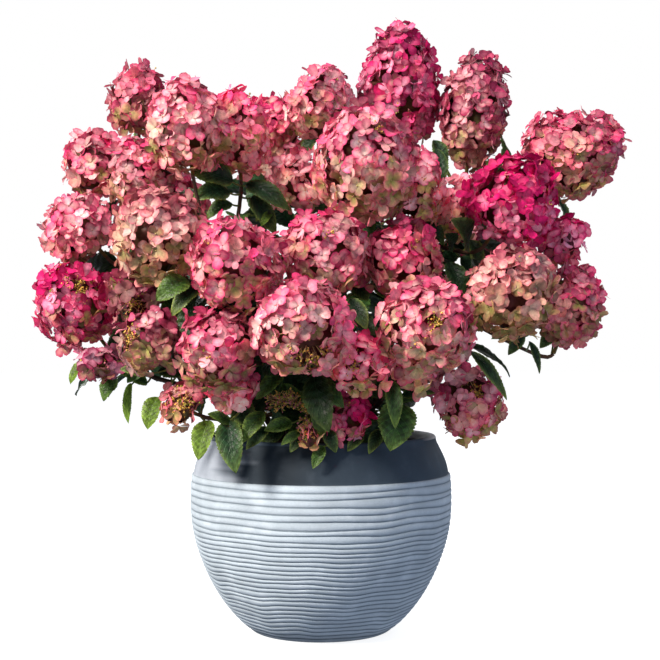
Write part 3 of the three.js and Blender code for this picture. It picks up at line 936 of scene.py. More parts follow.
    def florets(self, shape: Shape) -> None:
        """Grow the florets.

        Args:
            shape: Where their sepals and eyes are added.
        """
        florets = self.arranged()
        points, plan, rim = self.sepals(florets)
        tint, low = self.tints(florets, plan, rim)
        rows, columns = points.shape[2:4]
        copies = (-1, rows * columns, 3)
        faces = grid_faces(rows, columns)
        shape.add(points.reshape(copies), faces, tint.reshape(copies), plan.reshape(-1, 2))
        self.eyes(shape, florets, low)

    def tints(
        self, florets: Florets, plan: np.ndarray, rim: np.ndarray
    ) -> tuple[np.ndarray, np.ndarray]:
        """Colour the sepals: pinker at the top of the head, greener below and where they are spent, with
        painted light and painted shade over them.

        Args:
            florets: The florets.
            plan: The surface coordinates of a sepal.
            rim: How near each point is to its sepal's rim.

        Returns:
            The colour of each point, and how green each floret is.
        """
        vary, blush, facing = VARIETY, BLUSHES[self.tone], florets.facing
        count = len(facing)
        one, four = (count, 1, 1, 1), (count, SEPAL.count, 1, 1)
        high = (florets.middle[:, 2] - self.centre[2]) / self.half
        patches = self.waves(facing, vary.patch_pace).mean(axis=1)
        flush = blush.flushed + self.flush + vary.flush_up * high + vary.flush_patch * patches
        flush = flush + self.draw.normal(0, vary.flush_floret, count)
        # Sepals that face the key lamp are painted paler: painted light
        flush -= blush.lit_side_paling * np.clip(facing @ unit(np.array(vary.sun)), 0, 1)
        flush = flush.reshape(one) + self.draw.normal(0, vary.flush_sepal, four)
        low = blush.turning + self.aged - vary.green_less - vary.green_down * high
        low = low - vary.green_facing * facing[:, 2] + self.draw.normal(0, vary.green_floret, count)
        low = np.clip(low + vary.green_spent * (self.draw.uniform(0, 1, count) < self.spent), 0, 1)
        deep = rim * self.draw.uniform(*vary.rim_depth, one)
        deep = deep + vary.rim_flush * np.clip(flush - vary.rim_from, 0, 1)
        lows = low.reshape(one) + self.draw.normal(0, vary.green_sepal, four)
        tint = blush.colours(flush, lows, deep)
        tint = tint * self.draw.uniform(*vary.sepal_light, four)[..., None]
        # Florets low on the head and facing down are painted lighter, and those high up and facing up darker:
        # painted light and painted shade that flatten the head's shading
        even = vary.painted_light_below - vary.painted_shade_above * np.clip(0.6 * high + 0.4 * facing[:, 2], -1, 1)
        # The head's light factor is painted light and painted shade
        tint = tint * self.draw.uniform(*vary.floret_light, one)[..., None] * self.light
        # Each sepal is painted darker towards its floret's middle: painted shade where the sepals crowd
        limb = vary.painted_throat_shade + vary.painted_limb_light * plan[..., 1:] ** 0.8
        tint = tint * even.reshape(*one, 1) * limb
        return self.toned_down(tint), low

    def toned_down(self, tint: np.ndarray) -> np.ndarray:
        """Keep the palest sepals from burning out, without a change of hue.

        Args:
            tint: The sepals' colours.

        Returns:
            The colours, the strongest ones drawn in towards a ceiling.
        """
        # Heads painted lighter get a higher ceiling, so their painted light is kept
        lit = max(1.0, VARIETY.lit_more * self.light)
        knee, room = VARIETY.palest * lit, VARIETY.headroom * lit
        peak = np.maximum(tint.max(axis=-1, keepdims=True), knee)
        return tint * (knee + room * (1 - np.exp((knee - peak) / room))) / peak

    def sepals(self, florets: Florets) -> tuple[np.ndarray, np.ndarray, np.ndarray]:
        """Shape four cupped, overlapping sepals on each floret.

        Args:
            florets: The florets.

        Returns:
            The points, their surface coordinates and how near each is to the rim.
        """
        form, count = SEPAL, len(florets.size)
        v, u = np.meshgrid(np.array(form.along), np.linspace(-1, 1, form.columns), indexing="ij")
        wide = np.array(form.widths)[:, None] * u

        def each(mean: float, spread: float) -> np.ndarray:
            """Draw a value for every sepal."""
            return self.draw.normal(mean, spread, (count, form.count, 1, 1))

        def along(ways: np.ndarray, steps: np.ndarray) -> np.ndarray:
            """Go some steps along a way of each floret."""
            return ways[:, None, None, None, :] * steps[..., None]

        scale = florets.size[:, None, None, None]
        length = form.length * scale * each(*form.stretch)
        half = form.half * scale * each(*form.spread)
        opening = self.draw.normal(*form.opening, (count, 1, 1, 1)) + each(*form.own_opening)
        far = length * (v - form.blunt * u**2 * v**3)
        aside = half * wide
        lift = opening * far + each(*form.curl) * length * v**2 + half * each(*form.cup) * wide**2
        twist = each(*form.twist) * far * wide
        lift += twist + form.crinkle * np.sin(6 * v + 3 * u + 5 * each(0, 1)) * v * np.abs(u)
        # Every other sepal lies over its neighbours.
        lift += form.overlap * (np.arange(form.count) % 2)[None, :, None, None]
        turn = np.arange(form.count)[None, :, None, None] * math.pi / 2 + each(*form.turn)
        go = np.cos(turn) * far - np.sin(turn) * aside
        sway = np.sin(turn) * far + np.cos(turn) * aside
        points = florets.middle[:, None, None, None, :] + along(florets.facing, lift)
        points = points + along(florets.spin, go) + along(florets.cross, sway)
        plan = np.stack([0.5 + 0.45 * wide, 0.1 + 0.85 * v], axis=-1)
        rim = np.clip(1.1 * np.abs(wide) ** 2 + 0.9 * v**3, 0, 1) + 0 * go
        return points, plan, rim

    def eyes(self, shape: Shape, florets: Florets, low: np.ndarray) -> None:
        """Put the small closed flower in the middle of each floret.

        Args:
            shape: Where they are added.
            florets: The florets.
            low: How green each floret is.
        """
        radius, raised, long = self.eye_radius, 1.4, 1.2
        facing, spin, cross = florets.facing, florets.spin, florets.cross
        place = florets.middle + facing * raised
        corners = [spin, cross, -spin, -cross]
        ring = np.stack([place + corner * radius for corner in corners], axis=1)
        ends = np.stack([place + facing * radius * long, place - facing * radius], axis=1)
        points = np.concatenate([ring, ends], axis=1)
        green = low * 0.9 + self.draw.uniform(0, 0.5, len(low))
        tint = between(self.eye_colours, green)
        shape.add(points, BUD_FACES, np.repeat(tint[:, None], BUD_POINTS, axis=1))

    def core(self, shape: Shape) -> None:
        """Fill the head's middle with a dark shell painted in shade colours, standing for its shaded inner
        florets.

        Args:
            shape: Where it is added.
        """
        rows, columns, pole = 13, 20, 0.001
        downs = np.linspace(pole, math.pi - pole, rows)
        rounds = np.arange(columns) / columns * math.tau
        polar, turn = np.meshgrid(downs, rounds, indexing="ij")
        bumps = 1 + self.core_bumps * self.draw.normal(0, 1, polar.shape) * np.sin(polar)
        bumps[0] = bumps[-1] = 1
        # The shell's dark rose and olive are painted shade
        ends = zip((BLUSHES[self.tone].rim, OLIVE), self.core_painted_shades)
        deep, dull = (linear(colour) * shade for colour, shade in ends)
        tint = blend(deep, dull, self.draw.uniform(0, 1, polar.shape))
        shape.add_grid(self.surface(polar, turn, self.core_share * bumps), tint, closed=True)
        stalk = np.linspace(self.neck, self.centre, 6)
        points, faces = tube(stalk, np.full(6, self.stalk_radius), 8)
        shape.add(points, faces, linear(self.stalk_colour))

    def buds(self, shape: Shape, count: int, way: np.ndarray, spread: float, reach: float) -> None:
        """Grow fertile flowers in among the florets.

        Args:
            shape: Where they are added.
            count: How many stalks they have.
            way: The middle of the patch that they show in, as seen from the head's middle.
            spread: How wide the patch is.
            reach: How far out they stand, as a share of the head.
        """
        ways = unit(unit(way) + self.draw.normal(0, spread, (count, 3)))
        arm = np.stack([ways @ self.side, ways @ self.front, ways @ self.axis], axis=1)
        size = np.array([self.radius, self.radius, self.half])
        shorter, root_share, root_scatter = (0.86, 1.0), 0.55, 3
        tips = self.centre + ways / np.linalg.norm(arm / size, axis=1)[:, None] * reach
        tips = self.centre + (tips - self.centre) * self.draw.uniform(*shorter, (count, 1))
        scatter = self.draw.normal(0, root_scatter, tips.shape)
        roots = self.centre + (tips - self.centre) * root_share + scatter
        grow_buds(shape, self.draw, roots, tips)

    def build(self, material: bpy.types.Material) -> None:
        """Build the head as one mesh.

        Args:
            material: The sepals' finish.
        """
        shape = Shape(f"bloom_{self.name}_florets")
        self.core(shape)
        self.florets(shape)
        sunk = self.floret_inset / min(self.radius, self.half) - 0.06
        strays = max(3, round(self.radius / 14))
        self.buds(shape, strays, -UP * 0.3 + self.axis, 0.9, 0.94 - sunk)
        for spray in self.sprays:
            spread = math.radians(spray.clear) * 0.6
            self.buds(shape, spray.count, np.array(spray.way), spread, spray.reach - sunk)
        shape.build([material], f"petals_{self.tone.value}", f"bloom_{self.name}")


# Each head's light value is painted light or painted shade on its sepals
HEADS = [
    Head("01", 139, 101, 40, 48, 60, Tone.ROSE, (0.02, -0.1, 1), light=0.9),
    Head(
        "02", 186, 125, -130, 54, 65, Tone.PALE, (-0.1, -0.35, 0.93),
        flush=0.12, aged=-0.1, floret_inset=6, skirt=166, light=1.12,
    ),
    Head(
        "03", 238, 133, -60, 46, 62, Tone.ROSE, (-0.05, -0.2, 0.97),
        light=1.6, floret_inset=5, skirt=166,
    ),
    Head("04", 276, 128, 85, 40, 54, Tone.ROSE, (0, 0, 1), floret_inset=7, light=1.2),
    Head("05", 95, 163, 0, 49, 55, Tone.ROSE, floret_inset=11, light=1.05),
    Head("06", 141, 173, -65, 48, 50, Tone.ROSE, floret_inset=6, light=1.0),
    Head("07", 79, 227, -58, 55, 52, Tone.PALE, flush=0.15, aged=-0.1),
    Head("08", 159, 235, -180, 62, 64, Tone.GREEN, flush=0.25, aged=-0.25, floret_inset=5, light=0.92),
    Head(
        "09", 75, 304, -76, 57, 70, Tone.MAGENTA, (-0.5, -0.4, 0.77),
        flush=0.2, light=1.25, floret_inset=11, spent=0.1,
    ),
    Head("10", 234, 262, -238, 57, 62, Tone.ROSE, floret_inset=5, light=1.17),
    Head("11", 321, 104, 5, 51, 62, Tone.PALE, (0.05, -0.1, 0.99), flush=0.1, aged=-0.1, floret_inset=10),
    Head("12", 400, 85, 60, 61, 106, Tone.MAGENTA, (0.02, -0.05, 1), flush=0.05, light=1.1, spent=0.1),
    Head(
        "13", 475, 112, 45, 54, 96, Tone.DUSKY, (0.14, 0, 0.99),
        flush=0.2, aged=-0.25, floret_inset=11, light=1.1, taper=-0.02, skirt=166,
    ),
    Head(
        "14", 364, 163, -150, 69, 76, Tone.PALE, (0.05, -0.45, 0.9),
        flush=0.1, floret_inset=5, skirt=166, light=1.08,
    ),
    Head(
        "15", 416, 188, -65, 35, 56, Tone.DUSKY, (0.1, -0.2, 0.97),
        light=2.3, floret_inset=4, skirt=166,
    ),
    Head("16", 572, 153, 0, 65, 82, Tone.ROSE, (0.93, -0.1, 0.32), light=1.1),
    Head(
        "17", 514, 201, -90, 63, 66, Tone.MAGENTA,
        flush=0.4, aged=-0.4, floret_inset=6, light=1.25, spent=0.04,
    ),
    Head("18", 562, 240, 0, 37, 42, Tone.MAGENTA, light=1.5, spent=0.1),
    Head("19", 512, 292, -155, 58, 65, Tone.GREEN, flush=0.15, aged=-0.1, floret_inset=6),
    Head(
        "20", 572, 307, -20, 50, 68, Tone.ROSE, (0.35, -0.1, 0.93),
        light=1.12, floret_inset=12, aged=0.2, skirt=168,
    ),
    Head(
        "21", 429, 326, -230, 61, 60, Tone.PALE, (0.38, -0.9, 0.22),
        flush=0.1, aged=-0.05, floret_inset=6, light=1.08,
    ),
    Head("22", 303, 324, -262, 63, 63, Tone.PALE, flush=0.1, aged=-0.1, floret_inset=6, light=1.12),
    Head("23", 324, 252, -180, 57, 57, Tone.ROSE, floret_inset=5),
    Head("24", 403, 260, -140, 54, 56, Tone.ROSE, floret_inset=5, light=1.1),
    Head("25", 217, 348, -240, 53, 46, Tone.ROSE, (-0.35, -0.9, 0.2), floret_inset=6),
    Head("26", 134, 294, -121, 33, 42, Tone.DUSKY, floret_inset=5, flush=0.3, light=0.85),
    Head("27", 149, 341, -155, 44, 42, Tone.DUSKY, floret_inset=6, flush=0.15, light=1.15),
    Head("28", 358, 363, -215, 39, 36, Tone.ROSE, light=1.75, floret_inset=6),
    Head("29", 232, 389, -185, 34, 26, Tone.DUSKY, flush=0.3, aged=-0.4, floret_inset=6, light=2.0),
    Head("30", 348, 416, -165, 31, 32, Tone.MAGENTA, floret_inset=6, light=1.5, flush=0.2),
    Head(
        "31", 469, 403, -80, 48, 53, Tone.DUSKY, (0.1, -0.35, -0.93),
        light=1.75, floret_inset=4, flush=0.25, aged=-0.1,
    ),
    Head("32", 180, 404, -165, 33, 25, Tone.GREEN, flush=0.5, aged=-0.4, floret_inset=7, light=1.05),
    Head("33", 413, 371, -165, 34, 22, Tone.PALE, light=1.6, floret_inset=6),
    Head("34", 457, 210, -20, 32, 48, Tone.DUSKY, light=2.2, floret_inset=3, skirt=166),
    Head("35", 297, 182, -10, 36, 48, Tone.DUSKY, flush=-0.2, aged=-0.2, light=2.2, floret_inset=3),
    Head(
        "36", 98, 364, -112, 25, 37, Tone.MAGENTA, (-0.9, -0.35, -0.05),
        flush=-0.3, aged=0.25, light=0.8,
    ),
    Head("37", 309, 436, -188, 14, 24, Tone.GREEN, (0, -0.6, -0.8), light=2.2),
    Head("38", 172, 205, 130, 58, 60, Tone.ROSE),
    Head("39", 275, 165, 195, 58, 62, Tone.PALE),
    Head("40", 392, 168, 180, 58, 62, Tone.ROSE),
    Head("41", 488, 232, 130, 57, 58, Tone.MAGENTA),
    Head("42", 122, 302, 105, 55, 57, Tone.ROSE),
    Head("43", 252, 298, 235, 58, 60, Tone.PALE),
    Head("44", 346, 250, 260, 60, 62, Tone.ROSE),
    Head("45", 432, 304, 225, 57, 58, Tone.PALE),
    Head("46", 520, 293, 100, 50, 54, Tone.MAGENTA),
    Head("47", 300, 368, 225, 52, 48, Tone.DUSKY),
]
BY_NAME = {head.name: head for head in HEADS}


@dataclass
class Stem:
    """One stem: a smooth curve from its foot to the neck of a head."""

    start: np.ndarray
    way: np.ndarray
    head: Head
    sweep: float
    steps: int
    gap: float = 0.3

    def __post_init__(self) -> None:
        """Work out the curve's four handles and the straight lengths that stand for it in the frame."""
        end = self.head.neck - self.head.axis * self.gap
        span = np.linalg.norm(self.start - end) * self.sweep
        self.handles = np.array(
            [self.start, self.start + self.way * span, end - self.head.axis * span, end]
        )
        self.chain = self.at(np.linspace(0, 1, self.steps + 1))

    def at(self, share: np.ndarray | float) -> np.ndarray:
        """Find places on the curve.

        Args:
            share: How far up the stem, from 0 to 1.

        Returns:
            The places.
        """
        t = np.asarray(share, dtype=float)[..., None]
        weights = [(1 - t) ** 3, 3 * t * (1 - t) ** 2, 3 * t**2 * (1 - t), t**3]
        return sum(weight * handle for weight, handle in zip(weights, self.handles))

    def heading(self, share: float) -> np.ndarray:
        """Find the way that the stem runs.

        Args:
            share: How far up the stem, from 0 to 1.

        Returns:
            A direction of length one.
        """
        t, legs = share, np.diff(self.handles, axis=0)
        return unit(legs[0] * (1 - t) ** 2 + legs[1] * 2 * t * (1 - t) + legs[2] * t**2)

    def on_chain(self, share: float) -> np.ndarray:
        """Find a place on the straight lengths.

        Args:
            share: How far along them, from 0 to 1.

        Returns:
            The place.
        """
        place = share * self.steps
        low = min(math.floor(place), self.steps - 1)
        return self.chain[low] + (self.chain[low + 1] - self.chain[low]) * (place - low)

    def length(self) -> float:
        """Measure the curve."""
        line = self.at(np.linspace(0, 1, 201))
        return float(np.linalg.norm(np.diff(line, axis=0), axis=1).sum())


@dataclass
class Leaf:
    """A pointed, toothed blade on its stalk."""

    root: np.ndarray
    base: np.ndarray
    tip: np.ndarray
    up: np.ndarray
    width: float
    colour: str = "#1b341a"
    seed: int = 0
    # How strongly the blade is painted: its painted shade towards base and midrib, its quilt shading and its
    # bleached rim
    bleach_and_painted_shade: float = 0.5
    fold: float = 0.28
    arch: float = 0.1
    teeth: int = 11
    bite: float = 0.13
    veins: int = 7
    vein_slant: float = 0.35
    quilting: float = 0.045
    rippling: float = 0.06
    curling: tuple[float, float] = (-0.05, 0.16)
    vein_and_quilt_shading: float = 0.58
    columns: int = 7
    swelling: float = 0.6
    narrowing: float = 0.85
    bleached_colour: str = "#a3b452"
    stalk_half: float = 1.5
    stalk_colour: str = "#7f8c45"
    sag: float = 0.06

    def outline(self, v: np.ndarray) -> np.ndarray:
        """Give the blade's half width along its length, without teeth.

        Args:
            v: Shares of the length.

        Returns:
            Shares of the widest half.
        """
        widest = self.swelling / (self.swelling + self.narrowing)
        most = widest**self.swelling * (1 - widest) ** self.narrowing
        return (v**self.swelling * (1 - v) ** self.narrowing) / most

    def frame(self) -> tuple[float, np.ndarray, np.ndarray, np.ndarray]:
        """Work out the blade's length and the ways along it, across it and over it."""
        length = float(np.linalg.norm(self.tip - self.base))
        along = unit(self.tip - self.base)
        side = unit(np.cross(along, self.up))
        return length, along, side, np.cross(side, along)

    def probe(self) -> np.ndarray:
        """Give a few places on the blade, to test what it would run into."""
        length, _, side, over = self.frame()
        v = np.array([[0.0], [0.2], [0.45], [0.7], [1.0]])
        line = self.base + (self.tip - self.base) * v + over * (self.arch * 4 * v * (1 - v) * length)
        half = self.outline(v) * self.width / 2
        wings = [line + side * half * sign + over * half * self.fold for sign in (-1, 1)]
        return np.concatenate([line, *wings])

    def add_blade(self, shape: Shape) -> None:
        """Add the blade, folded along its midrib and toothed along its rim.

        Args:
            shape: Where it is added.
        """
        draw = np.random.default_rng(self.seed)
        length, along, side, over = self.frame()
        rows = self.teeth * 3 + 1
        v, u = np.meshgrid(np.linspace(0, 1, rows), np.linspace(-1, 1, self.columns), indexing="ij")
        saw = (v * self.teeth) % 1.0
        outermost = np.abs(u) > 0.9
        bite = 1 - self.bite * saw * np.clip(np.sin(math.pi * v) * 2, 0, 1) * outermost
        aside = u * (self.width / 2 * self.outline(v) * bite)
        # The blade bulges between its side veins and sinks along them.
        phase = (v - self.vein_slant * np.abs(u)) * self.veins * math.tau
        quilt = self.quilting * self.width * (1 - np.cos(phase)) * np.sin(math.pi * v) * np.abs(u) ** 0.5
        quilt *= 1 - 0.5 * np.abs(u)
        swing = np.sin(v * 9 + draw.uniform(0, 6) + (u > 0) * 1.7)
        ripple = self.rippling * self.width * u**2 * swing
        curl = draw.uniform(*self.curling) * length * v**2
        lift = self.arch * 4 * v * (1 - v) * length + np.abs(aside) * self.fold * (1 - 0.35 * u**2)
        lift += quilt + ripple - curl * 0.6
        points = self.base + (v * length)[..., None] * along + aside[..., None] * side
        points = points + lift[..., None] * over
        # The blade is painted darker towards its base and midrib, as painted shade, and striped along its
        # quilting, partly as paler veins and partly as painted shade of the bulges
        deep = 1 - 0.6 * (1 - v**2) * (1 - u**2) * self.bleach_and_painted_shade
        vein_and_quilt_shade = 1 + self.vein_and_quilt_shading * np.cos(phase) * np.abs(u) ** 0.3 * self.bleach_and_painted_shade
        tint = linear(self.colour) * draw.uniform(0.8, 1.2) * (deep * vein_and_quilt_shade)[..., None]
        # Some blades pale towards their rim and tip, as the sun bleaches them.
        edge = np.clip(np.abs(u) ** 4 * 0.7 + v**5 * 0.6, 0, 1) * draw.uniform(0.3, 0.9) * self.bleach_and_painted_shade**2
        tint = blend(tint, linear(self.bleached_colour), edge)
        shape.add_grid(points, tint, np.stack([0.5 + 0.5 * u, v], axis=-1))

    def add_to(self, shape: Shape) -> None:
        """Add the blade and its stalk, which sags a little on its way, to a mesh.

        Args:
            shape: Where they are added.
        """
        self.add_blade(shape)
        length, along, _, _ = self.frame()
        steps = np.linspace(0, 1, 6)[:, None]
        sag = UP * -self.sag * float(np.linalg.norm(self.base - self.root))
        into = self.base + along * length * 0.06
        stalk = self.root * (1 - steps) + into * steps + sag * 4 * steps * (1 - steps)
        radii = np.linspace(self.stalk_half * 1.2, self.stalk_half * 0.7, 6)
        points, faces = tube(stalk, radii, 6)
        shape.add(points, faces, linear(self.stalk_colour))


class Green(Enum):
    """How much light a leaf has had, and how much shines through it, painted into its green: painted light
    where light shines through and painted shade in the crown.
    """

    DARK = "#26472b"
    MID = "#335827"
    FRESH = "#46692a"
    LIME = "#6c8c30"


@dataclass(frozen=True)
class OpenLeaf:
    """A leaf that stands clear of the heads: its cane, its blade's two ends as seen, and its width."""

    cane: str
    foot: tuple[float, float, float]
    tip: tuple[float, float, float]
    width: float
    green: Green = Green.DARK
    fold: float = 0.42


OPEN_LEAVES = [OpenLeaf(*row) for row in (
    ("03", (188, 280, -215), (156, 301, -235), 36, Green.FRESH),
    ("03", (198, 286, -178), (171, 314, -200), 28),
    ("01", (116, 377, -78), (103, 401, -88), 28, Green.FRESH, 0.25),
    ("01", (147, 384, -60), (118, 372, -85), 22, Green.MID),
    ("01", (131, 383, -40), (128, 424, -50), 16, Green.LIME),
    ("03", (158, 397, -120), (147, 429, -135), 30, Green.LIME),
    ("04", (209, 420, -170), (198, 460, -190), 32, Green.LIME),
    ("04", (228, 420, -180), (235, 472, -215), 38, Green.DARK, 0.5),
    ("04", (263, 412, -180), (242, 441, -200), 26, Green.FRESH),
    ("05", (292, 423, -170), (264, 431, -185), 22, Green.FRESH),
    ("05", (323, 446, -178), (313, 469, -192), 18, Green.FRESH),
    ("05", (312, 379, -185), (344, 407, -200), 30, Green.MID),
    ("10", (391, 381, -196), (396, 427, -225), 24, Green.MID),
    ("10", (400, 402, -160), (391, 450, -190), 54, Green.MID, 0.15),
    ("10", (470, 351, -120), (507, 400, -130), 20),
    ("10", (436, 388, -60), (399, 402, -75), 20),
    ("09", (523, 332, -60), (508, 355, -70), 20),
    ("09", (529, 341, -40), (539, 374, -50), 14),
    ("08", (436, 149, -10), (441, 187, -25), 26),
    ("06", (246, 184, -55), (290, 208, -75), 32),
    ("05", (350, 299, -208), (367, 329, -232), 25, Green.DARK, 0.2),
    ("01", (84, 362, -10), (70, 384, -15), 20, Green.LIME),
    ("03", (150, 374, -130), (120, 369, -140), 20),
    ("03", (158, 371, -120), (190, 375, -130), 22),
    ("04", (207, 372, -118), (181, 395, -112), 34),
    ("04", (230, 422, -180), (207, 414, -198), 18, Green.FRESH),
    ("04", (238, 402, -150), (250, 428, -165), 36),
    ("05", (283, 372, -170), (256, 400, -185), 24, Green.FRESH),
    ("05", (275, 388, -165), (308, 404, -175), 24, Green.FRESH),
    ("05", (300, 432, -185), (281, 445, -195), 14, Green.FRESH),
    ("05", (318, 400, -180), (322, 438, -180), 26, Green.FRESH),
    ("05", (283, 428, -115), (262, 446, -126), 26),
    ("05", (340, 425, -110), (352, 450, -130), 28),
    ("10", (385, 420, -120), (362, 449, -133), 30),
    ("10", (402, 396, -90), (436, 391, -95), 20),
    ("09", (552, 195, 48), (568, 226, 50), 22),
    ("04", (246, 425, -120), (228, 446, -140), 26, Green.MID),
    ("06", (233, 181, -75), (191, 171, -85), 40, Green.DARK, 0.2),
    ("06", (230, 192, -75), (192, 197, -90), 38, Green.DARK, 0.2),
    ("06", (232, 203, -60), (206, 217, -70), 26, Green.MID),
    ("06", (272, 212, -50), (261, 226, -60), 14, Green.LIME),
    ("04", (268, 428, -155), (246, 449, -172), 20),
    ("05", (326, 430, -168), (336, 453, -180), 20),
    ("10", (362, 434, -150), (347, 452, -172), 18, Green.MID),
    ("10", (380, 430, -150), (369, 454, -172), 20),
    ("05", (302, 436, -168), (290, 452, -182), 16),
    ("02", (118, 200, 45), (103, 243, 40), 30),
    ("01", (127, 330, -20), (108, 354, -24), 28),
    ("02", (150, 118, 112), (134, 146, 112), 26),
    ("06", (252, 196, -40), (276, 234, -52), 30),
    ("07", (318, 132, 60), (302, 158, 60), 26),
    ("08", (434, 140, 20), (444, 172, 10), 26),
    ("10", (448, 262, -60), (462, 298, -80), 34),
    ("09", (470, 240, -40), (480, 268, -50), 26),
    ("05", (352, 282, -110), (368, 300, -115), 30),
    ("09", (520, 330, -20), (492, 338, -40), 22),
    ("05", (374, 280, -90), (388, 300, -95), 26),
    ("10", (424, 222, -40), (444, 246, -48), 26),
    ("09", (554, 254, 45), (567, 278, 40), 22),
    ("09", (556, 326, 30), (540, 348, 20), 24),
)]


# Windows of the picture, as left, top, right and bottom, through which only the named leaves are seen
OPEN_AIR = np.array(
    [
        (125, 384, 172, 440),
        (175, 425, 208, 470),
        (484, 348, 600, 410),
        (190, 450, 450, 500),
        (408, 424, 450, 460),
    ]
)


def in_open_air(leaf: Leaf) -> bool:
    """Tell whether a leaf would be seen in one of the windows kept open."""
    spots = EYE.seen(leaf.probe())[:, None]
    return bool(((spots > OPEN_AIR[:, :2]) & (spots < OPEN_AIR[:, 2:])).all(axis=2).any())


@dataclass(frozen=True)
class BudTwig:
    """A small fertile panicle without sepals: its cane, its middle as seen, its size and its buds."""

    cane: str
    middle: tuple[float, float, float]
    radius: float
    stalks: int


BUD_TWIGS = [
    BudTwig("05", (276, 401, -178), 13, 22),
    BudTwig("05", (292, 399, -182), 12, 20),
    BudTwig("05", (310, 404, -184), 13, 24),
    BudTwig("05", (303, 424, -188), 9, 12),
]


class SeededDraw:
    """The frame's own repeatable draw of numbers between 0 and 1."""

    span = 2**32
    seed_factor, seed_step = 2654435, 97
    factor, step = 1664525, 1013904223

    def __init__(self, seed: int) -> None:
        """Start the draw from a whole number."""
        self.state = (seed * self.seed_factor + self.seed_step) % self.span

    def next(self) -> float:
        """Draw the next number."""
        self.state = (self.state * self.factor + self.step) % self.span
        return self.state / self.span


# How far a side branch swings out on its way, where that is not the usual share of its span
STEM_SWEEPS = {"20": 0.14}


